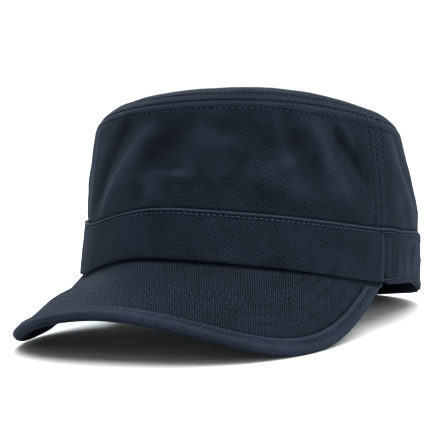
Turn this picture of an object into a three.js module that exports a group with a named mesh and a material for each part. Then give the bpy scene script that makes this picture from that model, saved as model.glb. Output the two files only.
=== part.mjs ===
// Army cap: an oval cloth crown with an upright wall and a rolled top edge, a folded band round its
// foot, a curved stitched visor with a bound edge, and a cloth strap round the back.
// It stands as it rests by itself: on the visor's two wing tips and on the rim at the back.
//
// Shapes are worked out in the cap's own frame and then settled on the surface at the end.
// Cap frame, millimetres: +X the wearer's left, -Y forwards to the visor, +Z up, the centre of the
// head opening at the origin. "turn" is the angle round the head, 0 at the front, 90 at the wearer's
// left and 180 at the back.

import * as THREE from 'three';

// ---- Driving dimensions, millimetres and degrees ----

// The head opening, the oval that the foot of the wall follows. An oval is an ellipse made squarer
// (squareness above 2) and narrower at the front than at the back (taper).
const rim = { halfLength: 104.9, halfWidth: 78.1, squareness: 2.05, taper: 0.14 };
// The oval at the top of the wall, where the shoulder starts to roll over.
const wallTop = {
  halfLength: 85.0, halfWidth: 74.1, squareness: 1.92, taper: 0.0, setForward: 6.6, setSideways: -2.8,
};
// Height of the wall's top, how much higher it is at the front, and its tilt from side to side.
const wallTopHeight = 61.9;
const wallRiseAtFront = 3.2;
const wallTiltSideways = 0.059;
// How far the wall swells out at half height.
const swell = { front: 2.3, back: 0.4, side: 1.6 };
// The wall is flatter on the wearer's right of the front.
const flatter = { depth: 1.8, turn: 42, halfTurn: 36 };
const wallThickness = 1.5;
// Gap left between neighbouring pieces.
const gap = 0.3;

// The shoulder rolls in and up through a quarter turn. The top panel is sewn on part way round it.
const shoulder = { rollIn: 17.2, rollUp: 15.2, seamAngle: 30 };
const topDome = { rise: 7.3, power: 2.1 };
const topThickness = 1.6;

// The two side seams, where the front and back panels and the two lengths of band meet.
const sideSeamTurn = 75.2;

// The band, measured from the rim. Its height is the least at the front: it grows round both sides,
// later on the wearer's left, and dips a little at the right of the front.
const band = { height: 22.6, proud: 1.0, beadProud: 1.3, inner: -1.5, lapHeight: 16.2, lapInner: -0.5 };
const bandGrows = { by: 1.5, fromLeft: 15, fromRight: 30, over: 60 };
const bandDips = { by: 1.2, turn: -15, halfTurn: 22 };
// The crown's foot steps in to pass behind the band's upper part.
const crownFoot = { height: 16.6, stepIn: 1.1 };
// How much higher the rim is at the back (lower, when negative), and its dip where it rests.
const rearRise = -1.6;
const rearDip = { depth: 0.75, halfTurn: 26 };
// The strap draws the wall's foot in either side of the back.
const drawIn = { depth: 6.0, turn: 118, halfTurn: 48, upTo: 0.5 };

// The visor: a sheet curved round an axis that slopes down to the front.
const visor = {
  slope: 30.2, radius: 87.4, radiusGain: 0.035, frontRise: 0.7,
  halfSpan: 93.0, reach: 50.6, depth: 96.1, cornerPower: 2.45,
  thickness: 2.6, endAngle: 105, seamAllowance: 3.0,
};
// The wearer's right side of the visor sags near the band.
const visorSag = { depth: 2.4, fromAcross: -15, overAcross: 50, untilAlong: 50, overAlong: 60 };
// It also dips at the band on that side, fading outwards over a share of the rim's size.
const visorDip = { depth: 3.7, turn: -29, halfTurn: 28, fadeOver: 0.3 };
// Where along the rim the visor is sewn in, as a turn either side of the front.
const visorSewnTurn = 74.5;
// The binding folded over the visor's edge.
const binding = {
  width: 7.6, underWidth: 7.0, thickness: 0.95, edgeInset: 1.5, fromAngle: -96, toAngle: 100.5,
};

// The adjuster strap on the rear band.
const strap = { fromTurn: 85.2, foot: 2.2, height: 12.2, thickness: 1.1, sunk: 0.9 };

// Folds and dents in the crown wall: a ridge (or a hollow, when its swing is negative) along the line
// between two places, each given by its turn and by its height above the rim.
const folds = [
  { turnA: -28, upA: 29, turnB: -11, upB: 60, halfWidth: 6.0, swing: 1.5 },
  { turnA: -22, upA: 34, turnB: -20, upB: 70, halfWidth: 7.5, swing: -1.5 },
  { turnA: -38, upA: 30, turnB: -36, upB: 70, halfWidth: 5.0, swing: 0.9 },
  { turnA: -6, upA: 62, turnB: 14, upB: 58, halfWidth: 8.0, swing: -0.7 },
  { turnA: 32, upA: 66, turnB: 41, upB: 34, halfWidth: 7.0, swing: -0.8 },
  { turnA: 46, upA: 68, turnB: 56, upB: 35, halfWidth: 5.0, swing: 1.0 },
  { turnA: 54, upA: 68, turnB: 59, upB: 42, halfWidth: 4.5, swing: -1.3 },
  { turnA: 61, upA: 66, turnB: 68, upB: 46, halfWidth: 4.0, swing: 0.7 },
  { turnA: 95, upA: 66, turnB: 90, upB: 36, halfWidth: 5.0, swing: 0.9 },
  { turnA: 118, upA: 68, turnB: 112, upB: 34, halfWidth: 8.0, swing: -0.9 },
  { turnA: 150, upA: 42, turnB: 212, upB: 45, halfWidth: 10.0, swing: -1.0 },
  { turnA: 252, upA: 68, turnB: 262, upB: 36, halfWidth: 8.0, swing: -1.0 },
];

// How the cap rests: front tipped up about the X axis, rolled about the Y axis, then lifted and
// moved so that its outline is centred over the origin.
const rest = { tip: 10.02, roll: 0.84, lift: 19.94, forward: -23.27, sideways: -0.73 };

// ---- Small helpers ----

const radians = THREE.MathUtils.degToRad;

function smoothRamp(t) {
  const c = Math.min(Math.max(t, 0), 1);
  return c * c * (3 - 2 * c);
}

function mix(a, b, share) {
  return a + (b - a) * share;
}

// A point of a rounded oval at a turn.
function oval(turn, shape) {
  const s = Math.sin(radians(turn));
  const c = Math.cos(radians(turn));
  const n = shape.squareness;
  const r = (Math.abs(s / shape.halfWidth) ** n + Math.abs(c / shape.halfLength) ** n) ** (-1 / n);
  return { x: s * r * (1 - (shape.taper * c * r) / shape.halfLength), y: -c * r };
}

// The outward direction in plan of the rim's oval at a turn.
function outward(turn) {
  const a = oval(turn - 0.5, rim);
  const b = oval(turn + 0.5, rim);
  const length = Math.hypot(b.x - a.x, b.y - a.y);
  return { x: (b.y - a.y) / length, y: -(b.x - a.x) / length };
}

// ---- The visor's surface ----

const visorDown = new THREE.Vector3(0, -Math.cos(radians(visor.slope)), -Math.sin(radians(visor.slope)));
const visorUp = new THREE.Vector3(0, -Math.sin(radians(visor.slope)), Math.cos(radians(visor.slope)));
const visorStart = new THREE.Vector3(0, -rim.halfLength, visor.frontRise);
const startDown = visorStart.dot(visorDown);
const startUp = visorStart.dot(visorUp);

function visorRadius(along) {
  return visor.radius + visor.radiusGain * along;
}

function visorSagAt(across, along) {
  return visorSag.depth * smoothRamp((visorSag.fromAcross - across) / visorSag.overAcross)
    * smoothRamp((visorSag.untilAlong - along) / visorSag.overAlong);
}

// How far the sheet dips at a place in plan.
function visorDipAt(x, y) {
  const turn = THREE.MathUtils.radToDeg(Math.atan2(x, -y));
  const outwards = Math.hypot(x / rim.halfWidth, y / rim.halfLength) - 1.03;
  return visorDip.depth * smoothRamp(1 - Math.abs(turn - visorDip.turn) / visorDip.halfTurn)
    * (1 - smoothRamp(outwards / visorDip.fadeOver));
}

// The point of the visor's sheet at an arc length across, a distance along the slope from where it is
// sewn on at the front, and a distance above the sheet.
function visorPoint(across, along, above) {
  const radius = visorRadius(along);
  const bend = across / radius;
  const lifted = radius + above - visorSagAt(across, along);
  const up = startUp - radius + lifted * Math.cos(bend);
  const point = new THREE.Vector3(lifted * Math.sin(bend), 0, 0)
    .addScaledVector(visorDown, along + startDown)
    .addScaledVector(visorUp, up);
  point.z -= visorDipAt(point.x, point.y);
  return point;
}

// Height over a place in plan of the surface a distance above the visor's sheet, closing in on it a
// few times.
function visorHeight(x, y, above) {
  let z = 0;
  for (let round = 0; round < 6; round += 1) {
    const along = y * visorDown.y + z * visorDown.z - startDown;
    const radius = visorRadius(along);
    const share = Math.min(Math.max(x / radius, -0.98), 0.98);
    const lifted = radius + above - visorSagAt(radius * Math.asin(share), along);
    const reachAcross = Math.min(Math.abs(x), lifted * 0.98);
    const drop = radius - Math.sqrt(lifted * lifted - reachAcross * reachAcross);
    z = (startUp - drop - y * visorUp.y) / visorUp.z;
  }
  return z - visorDipAt(x, y);
}

// The visor's outer edge, moved in by a distance; angle runs from one end to the other.
function visorEdge(angle, inset) {
  const place = (a) => {
    const s = Math.sin(radians(a));
    const c = Math.cos(radians(a));
    const p = visor.cornerPower;
    const r = (Math.abs(s) ** p + Math.abs(c) ** p) ** (-1 / p);
    return { across: visor.halfSpan * s * r, along: visor.reach - visor.depth + visor.depth * c * r };
  };
  const here = place(angle);
  const before = place(angle - 0.5);
  const after = place(angle + 0.5);
  const acrossStep = after.across - before.across;
  const alongStep = after.along - before.along;
  const length = Math.hypot(acrossStep, alongStep);
  return {
    across: here.across + (alongStep / length) * inset,
    along: here.along - (acrossStep / length) * inset,
  };
}

// ---- The crown's surface ----

function turnFromFront(turn) {
  return Math.abs(((turn + 180) % 360 + 360) % 360 - 180);
}

// Height of the band's lower edge over a place in plan: it follows the visor's sheet at the front and
// is nearly level round the back.
function rimHeight(turn, x, y) {
  const away = turnFromFront(turn);
  const front = smoothRamp((visorSewnTurn + 9.5 - away) / 12);
  const towardsBack = 0.5 - 0.5 * Math.cos(radians(turn));
  const dip = rearDip.depth * smoothRamp((away - 180 + rearDip.halfTurn) / (0.6 * rearDip.halfTurn));
  const back = rearRise * towardsBack ** 2 - dip;
  const followed = front > 0 ? visorHeight(x, y, gap) : 0;
  return mix(back, followed, front);
}

// The crown before its shape is eased. Level runs 0 to 1 up the wall, 1 to 2 round the shoulder and
// 2 to 3 over the top to the middle.
function plainCrown(turn, level) {
  const head = oval(turn, wallTop);
  const headY = head.y - wallTop.setForward;
  const headX = head.x + wallTop.setSideways;
  const facing = Math.cos(radians(turn));
  const headZ = wallTopHeight + wallRiseAtFront * (0.5 + 0.5 * facing) ** 2 + wallTiltSideways * head.x;
  const headSize = Math.hypot(head.x, head.y);
  if (level <= 1) {
    const foot = oval(turn, rim);
    const footSize = Math.hypot(foot.x, foot.y);
    const ends = facing > 0 ? swell.front : swell.back;
    const away = turnFromFront(turn);
    const drawn = drawIn.depth * smoothRamp(1 - Math.abs(away - drawIn.turn) / drawIn.halfTurn)
      * smoothRamp(1 - level / drawIn.upTo);
    const onRight = Math.sin(radians(turn)) < 0 ? 1 : 0;
    const flat = onRight * flatter.depth
      * smoothRamp(1 - Math.abs(away - flatter.turn) / flatter.halfTurn);
    const swellHere = ends * facing ** 2 + swell.side * (1 - facing ** 2) - flat;
    const swollen = swellHere * Math.sin(Math.PI * level) - drawn;
    return new THREE.Vector3(
      mix(foot.x, headX, level) + (swollen * foot.x) / footSize,
      mix(foot.y, headY, level) + (swollen * foot.y) / footSize,
      mix(rimHeight(turn, foot.x, foot.y), headZ, level),
    );
  }
  if (level <= 2) {
    const angle = radians(90 * (level - 1));
    const inwards = shoulder.rollIn * (1 - Math.cos(angle)) / headSize;
    return new THREE.Vector3(
      headX - head.x * inwards,
      headY - head.y * inwards,
      headZ + shoulder.rollUp * Math.sin(angle),
    );
  }
  const reach = 3 - level;
  const across = ((headSize - shoulder.rollIn) / headSize) * reach;
  const edgeZ = headZ + shoulder.rollUp;
  const middleZ = wallTopHeight + wallRiseAtFront * 0.3 + shoulder.rollUp;
  return new THREE.Vector3(
    wallTop.setSideways + head.x * across,
    head.y * across - wallTop.setForward,
    mix(middleZ, edgeZ, reach) + topDome.rise * (1 - reach ** topDome.power),
  );
}

// The crown eased by averaging neighbours a little above and below.
function easedCrown(turn, level) {
  const spread = 0.09 * smoothRamp(level / 0.5) * smoothRamp((3 - level) / 0.3);
  const total = new THREE.Vector3();
  for (const step of [-2, -1, 0, 1, 2]) {
    total.add(plainCrown(turn, level + step * spread));
  }
  return total.multiplyScalar(1 / 5);
}

// How far a fold moves the crown out at a turn and a height above the rim.
function foldSwing(turn, height) {
  const mmPerDegree = 1.5;
  let total = 0;
  for (const fold of folds) {
    const around = [-360, 0, 360].map((lap) => turn + lap - fold.turnA);
    const nearest = around.reduce((a, b) => (Math.abs(b) < Math.abs(a) ? b : a));
    const lineX = (fold.turnB - fold.turnA) * mmPerDegree;
    const lineY = fold.upB - fold.upA;
    const hereX = nearest * mmPerDegree;
    const hereY = height - fold.upA;
    const length = Math.hypot(lineX, lineY);
    const alongShare = (hereX * lineX + hereY * lineY) / (length * length);
    const offLine = Math.abs(hereX * lineY - hereY * lineX) / length;
    const ends = smoothRamp((alongShare + 0.25) / 0.5) * smoothRamp((1.25 - alongShare) / 0.5);
    total += fold.swing * ends * Math.exp(-((offLine / fold.halfWidth) ** 2));
  }
  const clearOfBand = smoothRamp((height - band.height - 1) / 9);
  const clearOfTop = smoothRamp((72 - height) / 9);
  return total * clearOfBand * clearOfTop;
}

// The crown's outward direction at a turn and level.
function crownNormal(turn, level) {
  const across = easedCrown(turn + 0.5, level).sub(easedCrown(turn - 0.5, level));
  const up = easedCrown(turn, level + 0.01).sub(easedCrown(turn, level - 0.01));
  return across.cross(up).normalize();
}

// The band's height at a turn.
function bandHeightAt(turn) {
  const away = turnFromFront(turn);
  const onRight = Math.sin(radians(turn)) < 0;
  const grown = smoothRamp((away - (onRight ? bandGrows.fromRight : bandGrows.fromLeft)) / bandGrows.over);
  const signedTurn = onRight ? -away : away;
  const dipped = smoothRamp(1 - Math.abs(signedTurn - bandDips.turn) / bandDips.halfTurn);
  return band.height + bandGrows.by * grown - bandDips.by * dipped;
}

// The crown's outer face, with an outset from it.
function crownPoint(turn, level, outset) {
  const point = easedCrown(turn, level);
  if (level >= 2.98) {
    point.z += outset;
    return point;
  }
  const height = point.z - easedCrown(turn, 0).z;
  const behindBand = crownFoot.stepIn * smoothRamp((bandHeightAt(turn) + 2.2 - height) / 2);
  const push = outset - behindBand + (level < 2 ? foldSwing(turn, height) : 0);
  return point.addScaledVector(crownNormal(turn, Math.max(level, 0.01)), push);
}

// A point of the band, at a height above the rim. Its lowest points sit on the rim's own height.
function bandPoint(turn, height, outset) {
  const level = height / (easedCrown(turn, 1).z - easedCrown(turn, 0).z);
  const out = crownNormal(turn, 0.2).setZ(0).normalize();
  const point = easedCrown(turn, level).addScaledVector(out, outset);
  const lowest = rimHeight(turn, point.x, point.y);
  point.z = mix(lowest + height, point.z, smoothRamp(height / 9));
  return point;
}

// ---- Settling the cap on the surface ----

// Tips and rolls a point with the cap, lifts it, and flattens the cloth that would go below the surface.
function settle(point) {
  const c = Math.cos(radians(rest.tip));
  const s = Math.sin(radians(rest.tip));
  const tippedY = point.y * c + point.z * s;
  const tippedZ = -point.y * s + point.z * c;
  const rollC = Math.cos(radians(rest.roll));
  const rollS = Math.sin(radians(rest.roll));
  const x = point.x * rollC + tippedZ * rollS;
  const z = -point.x * rollS + tippedZ * rollC + rest.lift;
  return new THREE.Vector3(x - rest.sideways, tippedY - rest.forward, Math.max(z, 0));
}

// ---- Solids ----

// Makes a closed mesh from triangles of points, joining points that coincide.
function closedMesh(name, triangles, material) {
  const found = new Map();
  const positions = [];
  const index = [];
  const place = (point) => {
    const key = [point.x, point.y, point.z].map((v) => Math.round(v * 1e4)).join(' ');
    if (!found.has(key)) {
      found.set(key, positions.length / 3);
      positions.push(point.x, point.y, point.z);
    }
    return found.get(key);
  };
  let volume = 0;
  for (const [a, b, c] of triangles) {
    const corners = [place(a), place(b), place(c)];
    if (new Set(corners).size === 3) {
      index.push(...corners);
      volume += a.dot(b.clone().cross(c));
    }
  }
  if (volume < 0) {
    index.reverse();
  }
  const geometry = new THREE.BufferGeometry();
  geometry.setAttribute('position', new THREE.Float32BufferAttribute(positions, 3));
  geometry.setIndex(index);
  geometry.computeVertexNormals();
  const mesh = new THREE.Mesh(geometry, material);
  mesh.name = name;
  return mesh;
}

// The two triangles of a four-cornered face.
function quad(a, b, c, d) {
  return [[a, b, c], [a, c, d]];
}

// A sheet of cloth swept through sections. Each section is { outer, inner }, two rows of points with
// the same count; the sheet fills the space between them. A ring joins its last section to its first.
function sheet(name, sections, isRing, material) {
  const triangles = [];
  const count = sections[0].outer.length;
  const steps = isRing ? sections.length : sections.length - 1;
  for (let i = 0; i < steps; i += 1) {
    const here = sections[i];
    const next = sections[(i + 1) % sections.length];
    for (let j = 0; j < count - 1; j += 1) {
      triangles.push(...quad(here.outer[j], next.outer[j], next.outer[j + 1], here.outer[j + 1]));
      triangles.push(...quad(here.inner[j + 1], next.inner[j + 1], next.inner[j], here.inner[j]));
    }
    triangles.push(...quad(here.inner[0], next.inner[0], next.outer[0], here.outer[0]));
    const last = count - 1;
    triangles.push(...quad(here.outer[last], next.outer[last], next.inner[last], here.inner[last]));
  }
  if (!isRing) {
    const first = sections[0];
    const final = sections[sections.length - 1];
    for (let j = 0; j < count - 1; j += 1) {
      triangles.push(...quad(first.outer[j], first.outer[j + 1], first.inner[j + 1], first.inner[j]));
      triangles.push(...quad(final.inner[j], final.inner[j + 1], final.outer[j + 1], final.outer[j]));
    }
  }
  return closedMesh(name, triangles, material);
}

// Values at even steps from one to another.
function evenSteps(from, to, steps) {
  return Array.from({ length: steps + 1 }, (_, i) => mix(from, to, i / steps));
}

function settled(section) {
  return { outer: section.outer.map(settle), inner: section.inner.map(settle) };
}

// ---- Colours ----

function cloth(name, colour, roughness) {
  return new THREE.MeshStandardMaterial({ name, color: colour, roughness, metalness: 0 });
}

const crownCloth = cloth('crown_cloth', 0x252e3b, 0.95);
const topCloth = cloth('top_cloth', 0x2a3440, 0.95);
const bandCloth = cloth('band_cloth', 0x273140, 0.95);
const visorCloth = cloth('visor_cloth', 0x263140, 0.95);
const bindingCloth = cloth('binding_cloth', 0x2d3a49, 0.95);
const strapCloth = cloth('strap_cloth', 0x2c3845, 0.95);

// ---- Pieces ----

// Half the gap at a seam, as a turn.
const halfGapTurn = (gap / 2 / rim.halfWidth) * (180 / Math.PI);

const seamLevel = 1 + shoulder.seamAngle / 90;
// Half the gap at the top seam, as a share of a level.
const halfGapLevel = gap / 2 / 26;

// The crown from its foot behind the band, past the band's top edge, up to the top seam.
function crownSection(turn) {
  const wallHeight = easedCrown(turn, 1).z - easedCrown(turn, 0).z;
  const bandTop = bandHeightAt(turn);
  const clear = (bandTop + 2.3) / wallHeight;
  const levels = [crownFoot.height / wallHeight, (bandTop + 0.2) / wallHeight];
  const steps = 10;
  for (let j = 0; j <= steps; j += 1) {
    levels.push(mix(clear, seamLevel - halfGapLevel, j / steps));
  }
  return settled({
    outer: levels.map((level) => crownPoint(turn, level, 0)),
    inner: levels.map((level) => crownPoint(turn, level, -wallThickness)),
  });
}

// The band's section from the rim up: a folded foot, a plain middle, a step to lap over the crown's
// foot, and a rolled top edge. Each row is [outer height, outer outset, inner height, inner outset].
// The strap's two rows are sunk into the band where the strap lies.
function bandSection(turn) {
  const underStrap = smoothRamp((turnFromFront(turn) - strap.fromTurn + 3) / 2.5);
  const strapFace = band.proud - strap.sunk * underStrap;
  const strapTop = strap.foot + strap.height;
  const top = bandHeightAt(turn);
  const rows = [
    [0.0, band.proud - 0.6, 0.0, band.inner + 0.6],
    [strap.foot - 0.7, band.proud, 1.0, band.inner],
    [strap.foot, strapFace, strap.foot, band.inner],
    [strap.foot + strap.height / 2, strapFace, strap.foot + strap.height / 2, band.inner],
    [strapTop, strapFace, strapTop, band.inner],
    [strapTop + 0.6, band.proud, band.lapHeight - gap, band.inner],
    [band.lapHeight + 2.6, band.proud, band.lapHeight - gap, band.lapInner],
    [top - 1.6, band.beadProud, top - 1.6, band.lapInner],
    [top - 0.5, band.beadProud - 0.1, top - 0.5, band.lapInner],
    [top, band.beadProud - 0.6, top, band.lapInner + 0.2],
  ];
  return settled({
    outer: rows.map(([height, outset]) => bandPoint(turn, height, outset)),
    inner: rows.map((row) => bandPoint(turn, row[2], row[3])),
  });
}

function topSection(turn) {
  const start = seamLevel + halfGapLevel;
  const levels = [start, 1.5, 1.65, 1.8, 1.95, 2.1, 2.25, 2.45, 2.7, 3];
  return settled({
    outer: levels.map((level) => crownPoint(turn, level, 0)),
    inner: levels.map((level) => crownPoint(turn, level, -topThickness)),
  });
}

// The visor between its sewn-in edge and its outer edge, along one line of angle.
function visorSection(angle) {
  const steps = 7;
  const turn = angle * (visorSewnTurn / visor.endAngle);
  const foot = oval(turn, rim);
  const out = outward(turn);
  const x = foot.x - out.x * visor.seamAllowance;
  const y = foot.y - out.y * visor.seamAllowance;
  const along = y * visorDown.y + visorHeight(x, y, 0) * visorDown.z - startDown;
  const sewn = { across: visorRadius(along) * Math.asin(x / visorRadius(along)), along };
  const edge = visorEdge(angle, binding.edgeInset);
  const outer = [];
  const inner = [];
  for (let j = 0; j <= steps; j += 1) {
    const across = mix(sewn.across, edge.across, j / steps);
    const down = mix(sewn.along, edge.along, j / steps);
    outer.push(visorPoint(across, down, 0));
    inner.push(visorPoint(across, down, -visor.thickness));
  }
  return settled({ outer, inner });
}

// How wide the binding's upper flap can be at an angle before it meets the band's outer face.
function flapWidth(angle) {
  const clear = band.proud + gap + 0.2;
  const face = { ...rim, halfWidth: rim.halfWidth + clear, halfLength: rim.halfLength + clear };
  let width = binding.width;
  while (width > 0) {
    const edge = visorEdge(angle, width);
    const point = visorPoint(edge.across, edge.along, 0);
    const turn = THREE.MathUtils.radToDeg(Math.atan2(point.x, -point.y));
    const limit = oval(turn, face);
    if (Math.hypot(point.x, point.y) > Math.hypot(limit.x, limit.y)) {
      return width;
    }
    width -= 0.05;
  }
  return width;
}

// The binding, a strip folded round the visor's edge. Each row is the outer face's inset and height
// above the visor's sheet, then the inner face's.
function bindingSection(angle) {
  const top = binding.thickness + 0.25;
  const under = -visor.thickness - 0.25;
  const low = under - binding.thickness;
  const middle = -visor.thickness / 2;
  const fold = binding.edgeInset - gap;
  const rows = [
    [binding.width, 0.6, binding.width, 0.25],
    [binding.width - 0.8, top, binding.width - 0.8, 0.25],
    [binding.width - 4.2, top, binding.width - 4.2, 0.25],
    [1.5, top - 0.25, fold, 0.25],
    [0.4, top - 1.1, fold, 0.0],
    [0.0, middle, fold, middle],
    [0.4, low + 1.1, fold, under + 0.25],
    [1.5, low + 0.25, fold, under],
    [4.2, low, 4.2, under],
    [binding.underWidth, low, binding.underWidth, under],
  ];
  const squeeze = (flapWidth(angle) - binding.edgeInset) / (binding.width - binding.edgeInset);
  const place = (inset, above) => {
    const beyond = Math.max(inset - binding.edgeInset, 0);
    const edge = visorEdge(angle, inset - beyond * (1 - squeeze));
    return visorPoint(edge.across, edge.along, above);
  };
  return settled({
    outer: rows.map(([inset, above]) => place(inset, above)),
    inner: rows.map((row) => place(row[2], row[3])),
  });
}

// The strap lies on the band and its ends thin down.
function strapSection(turn) {
  const heights = [0, 0.08, 0.5, 0.92, 1];
  const inside = band.proud - strap.sunk + gap + 0.1;
  const outer = heights.map((share) => {
    const edge = share === 0 || share === 1 ? 0.6 : 1;
    return bandPoint(turn, strap.foot + strap.height * share, inside + strap.thickness * edge);
  });
  const inner = heights.map((share) => bandPoint(turn, strap.foot + strap.height * share, inside));
  return settled({ outer, inner });
}

const cap = new THREE.Group();
cap.name = 'army_cap';

const seamFront = sideSeamTurn - halfGapTurn;
const seamBack = sideSeamTurn + halfGapTurn;

const frontTurns = evenSteps(-seamFront, seamFront, 36);
// The back's turns reach the strap's end in two steps, and then go with the strap's own turns.
const strapTurns = evenSteps(strap.fromTurn, 360 - strap.fromTurn, 32);
const beforeStrap = mix(seamBack, strap.fromTurn, 0.5);
const backTurns = [seamBack, beforeStrap, ...strapTurns, 360 - beforeStrap, 360 - seamBack];
const topTurns = evenSteps(0, 350, 35);
const visorAngles = evenSteps(-visor.endAngle, visor.endAngle, 44);
const bindingAngles = evenSteps(binding.fromAngle, binding.toAngle, 38);

cap.add(sheet('crown_front', frontTurns.map(crownSection), false, crownCloth));
cap.add(sheet('crown_back', backTurns.map(crownSection), false, crownCloth));
cap.add(sheet('top_panel', topTurns.map(topSection), true, topCloth));
cap.add(sheet('band_front', frontTurns.map(bandSection), false, bandCloth));
cap.add(sheet('band_back', backTurns.map(bandSection), false, bandCloth));
cap.add(sheet('visor', visorAngles.map(visorSection), false, visorCloth));
cap.add(sheet('visor_binding', bindingAngles.map(bindingSection), false, bindingCloth));
cap.add(sheet('back_strap', strapTurns.map(strapSection), false, strapCloth));

export default cap;
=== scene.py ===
"""The looks of the army cap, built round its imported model.

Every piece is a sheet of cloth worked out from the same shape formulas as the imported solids, with
finer steps, seams, puckers, threads and a washed twill finish. Lengths are in millimetres until
settle stands the cap on the floor and turns them into metres.
Cap frame: +X the wearer's left, -Y forwards, +Z up. "turn" is the angle round the head, 0 at the
front and 90 at the wearer's left. "level" is 0 at the rim, 1 at the wall's top, 2 where the shoulder
ends and 3 in the middle of the top. "u" and "v" are distances in the cloth, along and up.
"""

import math
from types import SimpleNamespace as Sizes

import bpy
import numpy as np
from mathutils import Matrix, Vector


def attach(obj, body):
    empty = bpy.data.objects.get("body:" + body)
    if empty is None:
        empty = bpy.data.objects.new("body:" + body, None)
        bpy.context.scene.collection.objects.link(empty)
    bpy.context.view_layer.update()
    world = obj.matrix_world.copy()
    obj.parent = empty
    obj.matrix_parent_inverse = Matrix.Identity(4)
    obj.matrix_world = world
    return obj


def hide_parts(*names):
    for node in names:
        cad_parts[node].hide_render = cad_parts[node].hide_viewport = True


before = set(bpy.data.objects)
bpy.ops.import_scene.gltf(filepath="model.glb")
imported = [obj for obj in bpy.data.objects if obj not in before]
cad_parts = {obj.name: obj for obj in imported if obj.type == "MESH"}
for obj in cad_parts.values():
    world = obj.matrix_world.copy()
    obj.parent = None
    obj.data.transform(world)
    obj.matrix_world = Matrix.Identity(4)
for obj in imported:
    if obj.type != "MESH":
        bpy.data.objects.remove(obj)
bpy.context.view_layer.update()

# ---- Sizes of the cap, millimetres and degrees ----

RIM = Sizes(half_length=104.9, half_width=78.1, squareness=2.05, taper=0.14)
WALL_TOP = Sizes(half_length=85.0, half_width=74.1, squareness=1.92, taper=0.0)
WALL_TOP_FORWARD, WALL_TOP_SIDEWAYS = 6.6, -2.8
WALL_TOP_HEIGHT, WALL_RISE_AT_FRONT, WALL_TILT = 61.9, 3.2, 0.059
FRONT_LIFT = Sizes(by=1.15, turn=34, half_turn=48)
SWELL = Sizes(front=2.3, back=0.4, side=1.6)
FLATTER = Sizes(depth=1.8, turn=42, half_turn=36)
WALL_THICKNESS, GAP = 1.5, 0.3
SHOULDER = Sizes(roll_in=17.2, roll_up=15.2, seam_angle=30, length=26)
TOP_DOME = Sizes(rise=7.3, power=2.1, tilt_share=0.3)
TOP_THICKNESS = 1.6
# The averaging that eases the crown's edges: its spread in levels, reached over these levels.
EASING = Sizes(spread=0.09, over_from_rim=0.5, over_from_middle=0.3)
SIDE_SEAM_TURN = 75.2
BAND = Sizes(
    height=22.6, proud=1.0, bead_proud=1.3, inner=-1.5, lap_height=16.2, lap_inner=-0.5,
    wall_from=9, wall_level=0.2,
)
BAND_GROWS = Sizes(by=1.5, from_left=15, from_right=30, over=60)
BAND_DIPS = Sizes(by=1.2, turn=-15, half_turn=22)
BAND_CORNER = Sizes(by=1.5, turn=79.5, half_width=4.5, up_to=10)
CROWN_FOOT = Sizes(height=16.6, step_in=1.1, above_band=2.2, over=2)
REAR_RISE = -1.6
REAR_DIP = Sizes(depth=0.75, half_turn=26, over=15.6)
SIDE_RISE = Sizes(by=2.2, turn=111, half_turn=25)
DRAW_IN = Sizes(depth=6.0, turn=118, half_turn=48, up_to=0.5)
RIGHT_FLARE = Sizes(by=1.5, turn=-48, half_turn=32, up_to=0.5)
VISOR = Sizes(
    slope=30.2, radius=87.4, radius_gain=0.035, front_rise=0.7, half_span=93.0, reach=50.6,
    depth=96.1, corner_power=2.45, thickness=2.6, end_angle=105, seam_allowance=3.0,
)
VISOR_SAG = Sizes(
    depth=1.3, from_across=-15, over_across=50, until_along=50, over_along=60, upper_share=0.25,
)
VISOR_DIP = Sizes(depth=4.7, turn=-29, half_turn=28, from_size=1.03, fade_over=0.17)
VISOR_SEWN_TURN = 74.5
# The rim leaves the visor's sheet past its sewn edge, over so many degrees.
RIM_LEAVES_VISOR = Sizes(past=9.5, over=12)
BINDING = Sizes(
    width=7.6, under_width=7.0, thickness=0.95, edge_inset=1.5, from_angle=-99, to_angle=104.5,
    cloth_gap=0.25, stitch_inset=6.3,
)
STRAP = Sizes(
    from_turn=85.2, foot=3.4, height=11.0, thickness=0.85, sunk=0.9, edge_thickness=0.12, clear=0.18,
)
REST = Sizes(tip=10.02, roll=0.84, lift=19.94, forward=-23.27, sideways=-0.73)
MM_PER_DEGREE = 1.5


# Folds of the crown wall: from one place to another, each a turn and a height above the rim, with
# the half width and how far the cloth moves out (in, when negative).
FOLDS = (
    (-5.5, 60, -22, 29, 4.2, 1.5),
    (-16, 66, -31, 33, 6.5, -1.7),
    (-38, 30, -36, 70, 5.0, 0.9),
    (-62, 24, -56, 46, 10.0, 1.1),
    (-3, 58, 8, 61, 5.0, -0.5),
    (-8, 47, 2, 53, 6.0, -0.4),
    (3, 38, 9, 41, 2.0, 0.4),
    (-7, 35, 1, 38, 2.8, 0.3),
    (10, 48, 22, 44, 6.0, -0.35),
    (32, 69, 35, 53, 2.2, 0.5),
    (35, 52, 38, 47, 4.0, 0.5),
    (38, 62, 46, 40, 5.5, -0.6),
    (45, 66, 59, 36, 3.8, 1.0),
    (54, 67, 68, 46, 3.8, -1.5),
    (59, 66, 67, 48, 2.8, 0.9),
    (84, 68, 102, 29, 4.4, 1.2),
    (92, 66, 108, 36, 5.0, -0.6),
    (112, 28, 106, 54, 12.0, 1.1),
    (150, 42, 212, 45, 10.0, -1.0),
    (252, 68, 262, 36, 8.0, -1.0),
    (176, 66, 188, 40, 4.0, 0.8),
    (214, 64, 226, 38, 5.0, 0.7),
    (276, 62, 268, 34, 5.0, 0.8),
)
# Folds run past both places by this share, and fade near the band and near the top seam.
FOLD_OVERRUN = 0.25
FOLDS_FADE = Sizes(low=BAND.height - 1, over_low=6, high=73, over_high=7)

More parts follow.
